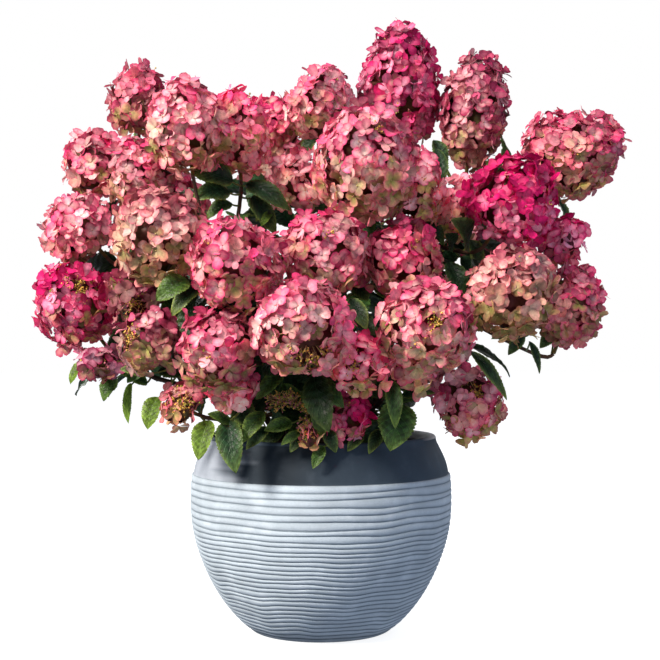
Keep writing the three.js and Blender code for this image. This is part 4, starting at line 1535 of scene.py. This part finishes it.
@dataclass
class Cane:
    """A woody cane with its side branches and leaves."""

    name: str
    foot: tuple[float, float]
    leader: str
    branches: Sequence[tuple[str, float]]
    soil_top: float = 248
    collar_rise: float = 11
    hole_floor: float = 150.3
    radius: float = 6.5
    twig_sweep: float = 0.34
    twig_radius: float = 4
    neck_radius: float = 2.8
    pair_distance: float = 34
    pair_head: float = 55
    stalk: float = 13
    leaf_length: float = 84
    leaf_width: float = 44
    droop: float = 0.35
    first_inner: float = 62
    inner_step: float = 46
    inner_sizes: tuple[float, float] = (0.62, 0.95)
    head_room: float = 2
    leaf_room: float = 26
    lowest: float = 262
    farthest: float = 400
    lip_height: float = 292
    lip_reach: tuple[float, float] = (145, 185)
    knot_every: float = 5.5
    knot_swell: float = 1.14
    slimness: float = 0.92
    wobble: float = 0.35
    sides: int = 10
    bark: tuple[str, str] = ("#3b2c22", "#4a3428")
    twig_bark: tuple[str, str] = ("#3f2d24", "#5c4230")
    bud_twig_colour: str = "#6f7a3a"

    def __post_init__(self) -> None:
        """Lay out the cane's stems."""
        collar = np.array([*self.foot, self.soil_top + self.collar_rise])
        main = Stem(collar, UP, BY_NAME[self.leader], 0.4, 4)
        self.stems = [main]
        for head, share in self.branches:
            sweep = STEM_SWEEPS.get(head, self.twig_sweep)
            self.stems.append(Stem(main.on_chain(share), main.heading(share), BY_NAME[head], sweep, 3))
        self.joints = [None, *[main.at(share) for _, share in self.branches]]

    def open_leaf(self, row: OpenLeaf, seed: int) -> Leaf:
        """Lead the stalk of an open leaf to the nearest stem.

        Args:
            row: The leaf as seen.
            seed: What makes it unlike the others.

        Returns:
            The leaf.
        """
        base, tip = EYE.place(*row.foot), EYE.place(*row.tip)
        shares = (np.arange(37) + 2) / 40
        samples = np.concatenate([stem.at(shares) for stem in self.stems])
        downhill = np.maximum(0, samples[:, 2] - base[2]) * 0.5
        root = samples[int(np.argmin(np.linalg.norm(samples - base, axis=1) + downhill))]
        # Its upper side faces the front and the sky, and turns a little to its own side of the bush.
        up = unit(np.array([base[0] * 0.45, base[1] - 260, 200]))
        look = {"bleach_and_painted_shade": 1.0, "fold": row.fold, "teeth": 16, "columns": 9}
        leaf = Leaf(root, base, tip, up, row.width, row.green.value, seed, **look)
        probe, into = leaf.probe()[2:], 6
        for head in HEADS:
            if head.covers(probe, -into):
                LOG.warning("open leaf %d touches head %s", seed, head.name)
        return leaf

    def pair_leaf(self, stem: Stem, share: float, turn: float, tilt: float, size: float) -> Leaf:
        """Lay out the leaf on one side of a joint.

        Args:
            stem: The stem that it grows on.
            share: How far up the stem.
            turn: Radians round the stem.
            tilt: Radians up from square to the stem.
            size: The leaf's size.

        Returns:
            The leaf.
        """
        along = stem.heading(share)
        side, front = square_to(along)
        out = side * math.cos(turn) + front * math.sin(turn)
        way = out * math.cos(tilt) + along * math.sin(tilt)
        base = stem.on_chain(share) + way * self.stalk
        tip = base + unit(way - UP * self.droop) * self.leaf_length * size
        return Leaf(stem.at(share), base, tip, along, self.leaf_width * size)

    def frame_pairs(self, corners: KDTree) -> Iterator[Leaf]:
        """Find the leaf pairs that the frame has below its larger heads.

        Args:
            corners: The places of the frame's own corners on this cane.

        Yields:
            Each leaf whose tip the frame has.
        """
        least_share, near = 0.15, 1.5 * MM
        for stem in self.stems:
            share = 1 - self.pair_distance / stem.length()
            if share < least_share or stem.head.radius < self.pair_head:
                continue
            seed = int(stem.head.name) * 10 + round(self.pair_distance)
            start = SeededDraw(seed).next() * math.tau
            for half in (0, math.pi):
                tries = [
                    self.pair_leaf(stem, share, start + half + math.radians(turn), math.radians(tilt), size)
                    for size in (1, 0.78)
                    for tilt in (22, -8, 48)
                    for turn in (0, 24, -24, 48, -48, 72, -72)
                ]
                grown = [leaf for leaf in tries if corners.find(leaf.tip * MM)[2] < near]
                yield from grown[:1]

    def inner_pairs(self, grown: list[Leaf]) -> Iterator[Leaf]:
        """Grow the smaller leaves inside the crown, down each stem.

        Args:
            grown: The leaves that are there already.

        Yields:
            Each leaf that has room.
        """
        draw = np.random.default_rng(int(self.name) + 900)
        for stem in self.stems:
            length = stem.length()
            turn = draw.uniform(0, math.tau)
            for distance in np.arange(self.first_inner, length * 0.92, self.inner_step):
                turn += math.pi / 2 + draw.normal(0, 0.2)
                for half in (0, math.pi):
                    leaf = self.roomy(stem, 1 - distance / length, turn + half, draw, grown)
                    if leaf is not None:
                        grown.append(leaf)
                        yield leaf

    def roomy(
        self, stem: Stem, share: float, turn: float, draw: np.random.Generator, grown: list[Leaf]
    ) -> Leaf | None:
        """Look for room for one inner leaf.

        Args:
            stem: The stem that it would grow on.
            share: How far up the stem.
            turn: Radians round the stem.
            draw: The cane's own draw.
            grown: The leaves that are there already.

        Returns:
            The leaf, or None where there is no room.
        """
        size = draw.uniform(*self.inner_sizes)
        for swing, tilt in ((0, 0.35), (0.5, 0.2), (-0.5, 0.6), (0, 0.9)):
            leaf = self.pair_leaf(stem, share, turn + swing, tilt, size)
            leaf.seed = int(draw.integers(1, 10**6))
            # Inner leaves are painted dark, as painted shade inside the crown
            leaf.colour = [Green.DARK, Green.DARK, Green.MID][leaf.seed % 3].value
            probe = leaf.probe()
            if in_open_air(leaf) or any(head.covers(probe, self.head_room) for head in HEADS):
                continue
            height, reach = probe[:, 2], np.hypot(probe[:, 0], probe[:, 1])
            if height.min() < self.lowest or reach.max() > self.farthest:
                continue
            inside, outside = self.lip_reach
            if ((height < self.lip_height) & (reach > inside) & (reach < outside)).any():
                continue
            gaps = [np.linalg.norm(probe.mean(axis=0) - other.probe().mean(axis=0)) for other in grown]
            if all(gap > self.leaf_room for gap in gaps):
                return leaf
        return None

    def bud_twigs(self, shape: Shape) -> None:
        """Grow the cane's small fertile panicles.

        Args:
            shape: Where they are added.
        """
        draw = np.random.default_rng(int(self.name) + 300)
        samples = np.concatenate([stem.at(np.linspace(0.1, 0.95, 40)) for stem in self.stems])
        for twig in BUD_TWIGS:
            if twig.cane != self.name:
                continue
            middle = EYE.place(*twig.middle)
            root = samples[int(np.argmin(np.linalg.norm(samples - middle, axis=1)))]
            foot = middle + unit(root - middle) * twig.radius * 0.6
            points, faces = tube(np.linspace(root, foot, 5), np.full(5, 1.1), 6)
            shape.add(points, faces, linear(self.bud_twig_colour))
            tips = middle + unit(draw.normal(0, 1, (twig.stalks, 3)) + [0, -0.8, 0.1]) * twig.radius
            grow_buds(shape, draw, foot + draw.normal(0, 1, tips.shape), tips)

    def wood(self, shape: Shape) -> None:
        """Build the round stems.

        Args:
            shape: Where they are added.
        """
        draw = np.random.default_rng(int(self.name))
        for index, stem in enumerate(self.stems):
            leads = index == 0
            steps = 34 if leads else 22
            shares = np.linspace(0, 1, steps)
            path = stem.at(shares)
            radii = np.linspace(self.radius if leads else self.twig_radius, self.neck_radius, steps)
            if not leads:
                path += (self.joints[index] - path[0]) * ((1 - shares) ** 3)[:, None]
            knots = np.abs((shares * steps / self.knot_every) % 1 - 0.5) < 0.12
            radii = radii * np.where(knots, self.knot_swell, 1.0) * self.slimness
            if leads:
                buried = [[*self.foot, self.hole_floor], [*self.foot, self.soil_top]]
                path = np.concatenate([buried, path])
                radii = np.concatenate([[self.radius * 0.9] * 2, radii])
            path[1:-1] += draw.normal(0, self.wobble, path[1:-1].shape)
            points, faces = tube(path, radii, self.sides)
            up = np.concatenate([np.repeat(np.linspace(0, 1, len(path)), self.sides), [0, 1]])
            tint = between(self.bark if leads else self.twig_bark, up)
            shape.add(points, faces, tint)

    def build(self, node: bpy.types.Object, bark: bpy.types.Material, blades: bpy.types.Material) -> None:
        """Build the cane's wood and its leaves.

        Args:
            node: The frame's own cane.
            bark: The wood's finish.
            blades: The leaves' finish.
        """
        corners = KDTree(len(node.data.vertices))
        for number, corner in enumerate(node.data.vertices):
            corners.insert(corner.co, number)
        corners.balance()
        wood = Shape(f"cane_{self.name}_wood")
        self.wood(wood)
        leaves = [
            self.open_leaf(row, number) for number, row in enumerate(OPEN_LEAVES) if row.cane == self.name
        ]
        pairs = list(self.frame_pairs(corners))
        for number, leaf in enumerate(pairs):
            leaf.seed = int(self.name) * 50 + number
            if in_open_air(leaf):
                leaf.width *= 0.5
        leaves += pairs
        inner = list(self.inner_pairs(list(leaves)))
        LOG.info("cane_%s: %d pair leaves, %d inner leaves", self.name, len(pairs), len(inner))
        foliage = Shape(f"cane_{self.name}_leaves")
        for leaf in [*leaves, *inner]:
            leaf.add_to(foliage)
        self.bud_twigs(foliage)
        wood.build([bark], "foliage", f"cane_{self.name}")
        foliage.build([blades], "foliage", f"cane_{self.name}")


CANES = [
    Cane("01", (-64, -4), "09", [("36", 0.3), ("26", 0.55), ("42", 0.4)]),
    Cane("02", (-46, 36), "01", [("05", 0.66), ("07", 0.5), ("38", 0.42)]),
    Cane("03", (-56, -40), "06", [("08", 0.5), ("27", 0.3)]),
    Cane("04", (-26, -66), "10", [("25", 0.42), ("32", 0.12), ("29", 0.2)]),
    Cane("05", (14, -64), "23", [("22", 0.4), ("30", 0.06), ("37", 0.03)]),
    Cane("06", (-18, -10), "02", [("03", 0.6), ("04", 0.56), ("35", 0.5)]),
    Cane("07", (12, 22), "12", [("11", 0.5), ("14", 0.42), ("39", 0.36)]),
    Cane("08", (42, 24), "13", [("15", 0.5), ("40", 0.36)]),
    Cane(
        "09", (72, 0), "16",
        [("17", 0.6), ("18", 0.66), ("20", 0.46), ("34", 0.36), ("41", 0.5), ("46", 0.4)],
    ),
    Cane("10", (52, -42), "19", [("21", 0.42), ("24", 0.5), ("28", 0.22), ("33", 0.16), ("31", 0.3)]),
    Cane("11", (0, 62), "44", [("43", 0.42), ("45", 0.5), ("47", 0.2)]),
]


@dataclass
class Planter:
    """The ball planter: a ribbed body below a smooth band and a rounded lip."""

    outline: Sequence[tuple[float, float]] = (
        (97, 0),
        (119, 18),
        (147, 53),
        (171, 100),
        (185, 147),
        (188.5, 195),
        (184, 241),
        (168, 277),
    )
    height: float = 284
    wall: float = 10
    floor: float = 12
    band_foot: float = 229
    ribs: int = 31
    wide_ribs: float = 8
    widening: float = 0.5
    rib_depth: float = 1.7
    foot_rib_depth: float = 3.0
    # Across each rib: how far up it, and how much the grooves below and above it still bite there
    section: Sequence[tuple[float, float, float]] = (
        (0.0, 1.0, 0.0),
        (0.11, 0.34, 0.0),
        (0.28, 0.08, 0.0),
        (0.55, 0.0, 0.02),
        (0.8, 0.0, 0.14),
        (0.92, 0.0, 0.42),
    )
    stand: float = 0.6
    wave: float = 1.8
    unevenness: float = 0.15
    columns: int = 264
    lip_drop: float = 5
    lip_turn: float = 3
    lip_foot: float = 273
    inside: Sequence[float] = (12, 60, 150, 276)
    foot_rim: float = 86
    recess: float = 1.0
    drain_ring: float = 52
    drain_radius: float = 7
    drains: int = 4
    body_colour: str = "#b5c1ca"
    groove_shade_colour: str = "#6f7b84"
    band_colour: str = "#3e4a55"
    worn_and_sunlit_colour: str = "#a9b1bc"
    lip_colour: str = "#bfc2c5"
    inside_shade_colour: str = "#6b6f73"

    def __post_init__(self) -> None:
        """Sample the outline as a smooth curve of radius over height."""
        places = np.array(self.outline, dtype=float)
        ends = [2 * places[0] - places[1], 2 * places[-1] - places[-2]]
        padded = np.concatenate([ends[:1], places, ends[1:]])
        line = []
        for one, two, three, four in zip(padded, padded[1:], padded[2:], padded[3:]):
            gaps = [math.sqrt(math.dist(a, b)) for a, b in ((one, two), (two, three), (three, four))]
            early = (two - one) / gaps[0] - (three - one) / (gaps[0] + gaps[1]) + (three - two) / gaps[1]
            late = (three - two) / gaps[1] - (four - two) / (gaps[1] + gaps[2]) + (four - three) / gaps[2]
            t = np.linspace(0, 1, 24)[:, None]
            curve = two * (2 * t**3 - 3 * t**2 + 1) + three * (3 * t**2 - 2 * t**3)
            curve += gaps[1] * (early * (t**3 - 2 * t**2 + t) + late * (t**3 - t**2))
            line.append(curve)
        self.samples = np.concatenate(line)
        self.turns = np.arange(self.columns) / self.columns * math.tau
        self.around = level_ring(self.columns)

    def radius(self, height: np.ndarray | float) -> np.ndarray:
        """Give the outline's radius at a height."""
        return np.interp(height, self.samples[:, 1], self.samples[:, 0])

    def inside_radius(self, height: float) -> float:
        """Give the inner wall's radius at a height, straight between a few levels."""
        levels = np.array(self.inside)
        return float(np.interp(height, levels, self.radius(levels) - self.wall))

    def grooves(self) -> tuple[np.ndarray, np.ndarray]:
        """Lay out the grooves round the body.

        The ribs swell and thin out. Where one is thinnest, the groove below it fades and two ribs merge.

        Returns:
            The height and the depth, from 0 to 1, of each groove at each column.
        """
        draw = np.random.default_rng(11)
        swell = np.zeros((self.ribs, self.columns))
        for cycles in (2, 3, 5, 8):
            size = draw.normal(0, 1, (self.ribs, 1))
            swell += size * np.cos(cycles * self.turns + draw.uniform(0, math.tau, (self.ribs, 1)))
        swell -= (np.roll(swell, 1, axis=0) + np.roll(swell, -1, axis=0)) / 2
        thick = np.exp(self.unevenness * swell / 1.8)
        # The ribs just below the band are wider than those on the belly and the foot.
        below = self.ribs - np.arange(self.ribs)[:, None]
        thick *= 1 + self.widening * np.clip((self.wide_ribs + 1.5 - below) / 3, 0, 1)
        heights = np.concatenate([np.zeros((1, self.columns)), np.cumsum(thick, axis=0)])
        heights *= self.band_foot / heights[-1]
        # Long waves and short ones run round the pot, and drift as they climb.
        turns = self.turns
        sway = 0.8 * np.sin(4 * turns + heights / 58 + 1) + 0.7 * np.sin(9 * turns - heights / 47)
        sway += 0.32 * np.sin(14 * turns + heights / 33 + 2) + 0.14 * np.sin(23 * turns - heights / 21)
        reach = self.wave * np.clip(1.3 - 1.25 * heights / self.band_foot, 0.12, 1)
        reach *= np.clip(heights / 16, 0, 1) * np.clip((self.band_foot - heights) / 12, 0, 1)
        heights = heights + reach * sway
        thin = np.diff(heights, axis=0) / np.mean(np.diff(heights, axis=0), axis=1, keepdims=True)
        depth = np.clip((thin - 0.36) / 0.24, 0, 1)
        return heights, np.concatenate([depth, np.ones((1, self.columns))])

    def body(self, shape: Shape) -> np.ndarray:
        """Build the ribbed body.

        Args:
            shape: Where it is added.

        Returns:
            The ring of places where the body meets the band.
        """
        draw = np.random.default_rng(12)
        heights, depths = self.grooves()
        body, groove = linear(self.body_colour), linear(self.groove_shade_colour)
        rings, tints = [], []
        for rib in range(self.ribs):
            streak = 1 + 0.05 * np.cos(self.turns * draw.integers(2, 9) + draw.uniform(0, math.tau))
            for share, under, over in self.section:
                height = heights[rib] * (1 - share) + heights[rib + 1] * share
                bite = under * depths[rib] + over * depths[rib + 1]
                low = 1 - height / self.band_foot
                rib_depth = self.rib_depth + (self.foot_rib_depth - self.rib_depth) * low
                out = self.radius(height) + self.stand + self.rib_depth - rib_depth * bite
                if rib == 0 and share == 0:
                    out = self.radius(height) - 0.5
                rings.append(self.around * out[:, None] + UP * height[:, None])
                # The lowest few millimetres are painted darker towards the foot
                shade = np.clip(0.45 + height / 32, 0, 1) * streak
                # The grooves are painted darker, more so towards the foot: painted shade in the grooves
                sunk = (bite**0.8) * (1 + 0.25 * low)
                tints.append(blend(body, groove, sunk) * shade[:, None])
        rings.append(self.around * float(self.radius(self.band_foot)) + UP * self.band_foot)
        # The crease below the band is painted in the grooves' shade
        tints.append(np.broadcast_to(groove, (self.columns, 3)))
        shape.add_grid(np.array(rings), np.array(tints), closed=True)
        # The underside is painted darker still: painted shade under the pot
        edge, shaded = self.around * self.foot_rim, groove * 0.6
        under = np.array([rings[0], edge, edge + UP * self.recess])
        shape.add_grid(under, shaded, closed=True, flipped=True)
        points, faces = self.pierced(self.foot_rim, self.recess)
        shape.add(points, faces[:, ::-1], shaded)
        return rings[-1]

    def pierced(self, reach: float, height: float) -> tuple[np.ndarray, np.ndarray]:
        """Make a level disc with the drain holes cut out of it.

        Args:
            reach: The disc's radius.
            height: How high it lies.

        Returns:
            The points and the triangles, facing up.
        """
        ring = self.around[:, :2] * reach
        circles = [ring, *[hole[:, :2] for hole in self.drain_rings(height)]]
        flat = np.concatenate(circles)
        loops, start = [], 0
        for circle in circles:
            numbers = np.arange(len(circle))
            loops += [(start + int(a), start + int((a + 1) % len(circle))) for a in numbers]
            start += len(circle)
        found = delaunay_2d_cdt([Vector(place) for place in flat.tolist()], loops, [], 0, 1e-5)
        places = np.array([[*place, height] for place in found[0]])
        faces = np.array(found[2])
        middles = places[faces].mean(axis=1)
        kept = np.ones(len(faces), dtype=bool)
        for hole in self.drain_rings(height):
            kept &= np.linalg.norm(middles - hole.mean(axis=0), axis=1) > self.drain_radius * 0.98
        return places, faces[kept]

    def drain_rings(self, height: float) -> list[np.ndarray]:
        """Give the rim of each drain hole at one height.

        Args:
            height: The height.

        Returns:
            One ring of places for each hole.
        """
        rings = []
        for hole in range(self.drains):
            way = (hole + 0.5) / self.drains * math.tau
            middle = np.array([math.cos(way), math.sin(way), 0]) * self.drain_ring + UP * height
            rings.append(middle + level_ring(32) * self.drain_radius)
        return rings

    def band(self, shape: Shape, ring: np.ndarray) -> None:
        """Build the smooth band, the rounded lip, the inside wall and the floor.

        Args:
            shape: Where they are added.
            ring: The places where the body ends.
        """
        rise = self.height - self.lip_drop
        outer = float(self.radius(self.height)) - self.lip_turn
        inner = outer - self.wall + 2 * self.lip_turn
        bend = np.linspace(0, math.pi / 2, 7)
        levels = np.linspace(self.band_foot + 0.4, rise, 12)
        band, lip = linear(self.band_colour), linear(self.lip_colour)
        # The inside wall, its floor and the drains are painted darker than the lip: painted shade inside the
        # pot
        inside = linear(self.inside_shade_colour)
        profile = [(float(self.radius(level)) - 0.2, level, band) for level in levels]
        for angle in bend[1:]:
            out = outer + self.lip_turn * math.cos(angle)
            profile.append((out, rise + self.lip_drop * math.sin(angle), lip if angle > 0.4 else band))
        for angle in bend[1:]:
            out = inner - self.lip_turn * math.sin(angle)
            profile.append((out, rise + self.lip_drop * math.cos(angle), lip))
        profile.append((self.inside_radius(self.lip_foot), self.lip_foot, lip))
        down = (270, 240, 150, 60, self.floor)
        profile += [(self.inside_radius(level), level, inside) for level in down]
        rings = np.array([ring, *[self.around * out + UP * level for out, level, _ in profile]])
        colours = np.array([band, *[colour for _, _, colour in profile]])
        shape.add_grid(rings, self.worn_and_painted_light(rings, colours, band), closed=True, finish=1)
        points, faces = self.pierced(self.inside_radius(self.floor), self.floor)
        shape.add(points, faces, inside)
        for wall in zip(self.drain_rings(self.recess), self.drain_rings(self.floor)):
            shape.add_grid(np.array(wall), inside, closed=True, flipped=True)

    def worn_and_painted_light(self, rings: np.ndarray, colours: np.ndarray, band: np.ndarray) -> np.ndarray:
        """Paint the band and the lip: wear, dust and painted sunlight at the left, painted shade at the
        front.

        Args:
            rings: The places of the band, the lip and the inside wall, ring by ring.
            colours: The colour of each ring when new.
            band: The band's colour when new.

        Returns:
            The colour of each place.
        """
        first_lip, first_wall = 13, 26
        tints = np.repeat(colours[:, None], self.columns, axis=1)
        ways = np.degrees(self.turns)
        # The front is painted darkest, as painted shade below the leaves that hang over it.
        painted_front_shade = 0.45 * np.clip((ways - 222) / 8, 0, 1) * np.clip((272 - ways) / 14, 0, 1)
        painted_front_shade += 0.26 * np.clip(1 - np.abs(ways - 268) / 40, 0, 1)
        tints = tints * (1 - painted_front_shade)[None, :, None]
        # The left is painted pale, partly as wear and dust and partly as painted sunlight and sheen, with
        # ragged ends.
        ragged = 5 * np.sin(rings[..., 2] / 5) + 3 * np.sin(rings[..., 2] / 1.7 + 1)
        worn = np.clip((236 + ragged - ways) / 18, 0, 1) * np.clip((ways - 150 + ragged) / 25, 0, 1)
        worn[first_lip + 1 :] = 0
        tints = blend(tints, linear(self.worn_and_sunlit_colour), worn * 0.85)
        # The lip is painted dark at the front, as painted shade under the leaves, and keeps its pale colour
        # at the back and the right.
        shaded = np.clip((np.cos(self.turns - math.radians(250)) + 0.1) / 0.3, 0, 1)
        tints[first_lip:first_wall] = blend(tints[first_lip:first_wall], band, shaded)
        return tints

    def build(self, body: bpy.types.Material, band: bpy.types.Material) -> None:
        """Build the planter as one mesh.

        Args:
            body: The ribbed body's finish.
            band: The smooth band's finish.
        """
        shape = Shape("planter")
        self.band(shape, self.body(shape))
        shape.build([body, band], "pot", "pot")


@dataclass
class PottingMix:
    """Peat and bark that fill the planter to just below its lip."""

    planter: Planter
    top: float = 248
    rows: int = 46
    columns: int = 120
    chips: int = 260
    crumbs: tuple[str, str] = ("#2a1e17", "#5a4433")
    barks: tuple[str, str] = ("#3a271b", "#8a6a4c")

    def level(self, x: np.ndarray, y: np.ndarray) -> np.ndarray:
        """Give the height of the uneven top.

        Args:
            x: Across.
            y: Back.

        Returns:
            Heights.
        """
        reach = np.hypot(x, y) / self.planter.inside_radius(self.top)
        swell = np.sin(x / 23 + 1) * np.cos(y / 19) + 0.6 * np.sin(x / 9 + y / 11)
        return self.top - 7 * reach**3 + swell * 2 + 2

    def build(self, material: bpy.types.Material) -> None:
        """Build the mix with its crumbs and bark chips.

        Args:
            material: Its finish.
        """
        draw = np.random.default_rng(3)
        shape = Shape("potting_mix_crumb")
        edge = self.planter.inside_radius(self.top - 8) - 0.5
        around = level_ring(self.columns)
        reach = np.linspace(1, edge, self.rows)[:, None]
        x, y = reach * around[:, 0], reach * around[:, 1]
        z = self.level(x, y) + draw.normal(0, 1.1, x.shape) * (reach < edge - 1)
        damp = linear(self.crumbs[0])
        tint = between(self.crumbs, draw.uniform(0, 1, x.shape))
        top = np.stack([x, y, z], axis=-1)
        shape.add_grid(top, tint, closed=True)
        levels = [self.planter.floor + 0.3, 60, 150, self.top - 20]
        rings = [around * (self.planter.inside_radius(level) - 0.4) + UP * level for level in levels]
        shape.add_grid(np.array([*rings, top[-1]]), damp, closed=True)
        shape.add_grid(np.array([around + UP * levels[0], rings[0]]), damp, closed=True)
        self.chip_bed(shape, draw, edge)
        shape.build([material], "potting_mix", "potting_mix")

    def chip_bed(self, shape: Shape, draw: np.random.Generator, edge: float) -> None:
        """Scatter bark chips over the top.

        Args:
            shape: Where they are added.
            draw: The mix's own draw.
            edge: How far out the chips may lie.
        """
        ends = (-1.0, 1.0)
        cube = np.array([[x, y, z] for x in ends for y in ends for z in ends])
        faces = np.array([[0, 1, 3, 2], [4, 6, 7, 5], [0, 4, 5, 1], [2, 3, 7, 6], [0, 2, 6, 4], [1, 5, 7, 3]])
        lengths, widths, heights = (2.5, 7), (1.5, 4), (0.8, 1.8)
        for _ in range(self.chips):
            reach = edge * 0.93 * math.sqrt(draw.uniform(0, 1))
            turn = draw.uniform(0, math.tau)
            x, y = reach * math.cos(turn), reach * math.sin(turn)
            size = np.array([draw.uniform(*limits) for limits in (lengths, widths, heights)])
            spin, lean = draw.uniform(0, math.tau), draw.normal(0, 0.35)
            chip = cube * size * (1 + draw.normal(0, 0.14, cube.shape))
            across, along = math.cos(spin), math.sin(spin)
            flat = np.array([[across, -along, 0], [along, across, 0], [0, 0, 1]])
            level, rise = math.cos(lean), math.sin(lean)
            tip = np.array([[1, 0, 0], [0, level, -rise], [0, rise, level]])
            place = np.array([x, y, float(self.level(np.array(x), np.array(y))) + 1.0])
            tint = between(self.barks, draw.uniform(0, 1, len(cube)))
            shape.add(chip @ (flat @ tip).T + place, faces, tint)


@dataclass
class Studio:
    """A white floor and backdrop, with soft lights at the upper left, above and behind, and a weak fill."""

    lamps: Sequence[tuple[str, tuple[float, float, float], float, float, str]] = (
        ("key", (-2.4, -1.75, 2.2), 0.8, 208, "#fff6ec"),
        ("front_top", (-0.7, -1.9, 2.9), 0.8, 62, "#fff6ea"),
        ("back_left", (-1.7, 2.6, 1.5), 1.6, 48, "#ffffff"),
        ("back_right", (2.1, 2.2, 2.1), 1.6, 28, "#ffffff"),
        ("fill", (2.2, -2.6, 1.3), 2.6, 20, "#d4e2ff"),
    )
    sky: float = 0.42
    sky_colour: str = "#dfeaff"
    floor_half: float = 12.0
    floor_colour: str = "#a8a8a8"
    floor_glow: float = 0.86
    white: str = "#ffffff"

    def lamp(
        self, name: str, place: tuple[float, float, float], size: float, power: float, colour: str
    ) -> None:
        """Hang one soft light, aimed at the crown.

        Args:
            name: Its name.
            place: Where it hangs, in metres.
            size: Its side, in metres.
            power: Its power, in watts.
            colour: Its colour.
        """
        data = bpy.data.lights.new(name, "AREA")
        data.size = size
        data.energy = power
        data.color = linear(colour)
        lamp = bpy.data.objects.new(name, data)
        lamp.location = place
        crown = np.array([0, 0, 0.5])
        aim = unit(np.array(place) - crown)
        lamp.rotation_euler = (math.acos(aim[2]), 0, math.atan2(aim[1], aim[0]) + math.pi / 2)
        bpy.context.scene.collection.objects.link(lamp)

    def floor_paper(self) -> bpy.types.Material:
        """Make the floor's white paper, which gives a little light by itself, so it never greys.

        Returns:
            The material.
        """
        material, tree = blank_material("white_floor_paper")
        look = {"Base Color": opaque(self.floor_colour), "Roughness": 0.95}
        light = {"Emission Color": opaque(self.white), "Emission Strength": self.floor_glow}
        paper = add_node(tree, "BsdfPrincipled", {**look, **light})
        add_node(tree, "OutputMaterial", {0: paper})
        return material

    def build(self) -> None:
        """Set up the floor, the backdrop, the lights and the picture's plain colour transform."""
        scene = bpy.context.scene
        scene.view_settings.view_transform = "Standard"
        bpy.ops.mesh.primitive_plane_add(size=self.floor_half * 2)
        floor = bpy.context.object
        floor.name = "floor"
        floor.data.materials.append(self.floor_paper())
        floor.visible_diffuse = False
        floor.visible_glossy = False
        floor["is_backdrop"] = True
        world = bpy.data.worlds.new("white_room")
        scene.world = world
        world.use_nodes = True
        tree = world.node_tree
        tree.nodes.clear()
        seen = add_node(tree, "LightPath")
        room = add_node(tree, "Background", {0: opaque(self.sky_colour), 1: self.sky})
        wall = add_node(tree, "Background", {0: opaque(self.white), 1: 1.0})
        layers = {0: seen.outputs["Is Camera Ray"], 1: room, 2: wall}
        both = add_node(tree, "MixShader", layers)
        add_node(tree, "OutputWorld", {0: both})
        for name, place, size, power, colour in self.lamps:
            self.lamp(name, place, size, power, colour)


def main() -> None:
    """Build every sub-assembly in order."""
    logging.basicConfig(level=logging.INFO, format="%(name)s: %(message)s")
    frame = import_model()
    solid_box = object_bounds()
    EYE.build()
    Studio().build()
    planter = Planter()
    planter.build(SHELL.material(), BAND.material())
    PottingMix(planter).build(PEAT.material())
    bark, blades = BARK.material(), BLADES.material()
    for cane in CANES:
        cane.build(frame["nodes"][f"cane_{cane.name}"], bark, blades)
    sepals = SEPALS.material()
    for head in HEADS:
        head.build(sepals)
    boxes = {"cad": solid_box, "visual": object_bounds()}
    plain = {name: [[float(value) for value in corner] for corner in box] for name, box in boxes.items()}
    LOG.info("boxes: %s", plain)


if __name__ == "__main__":
    main()
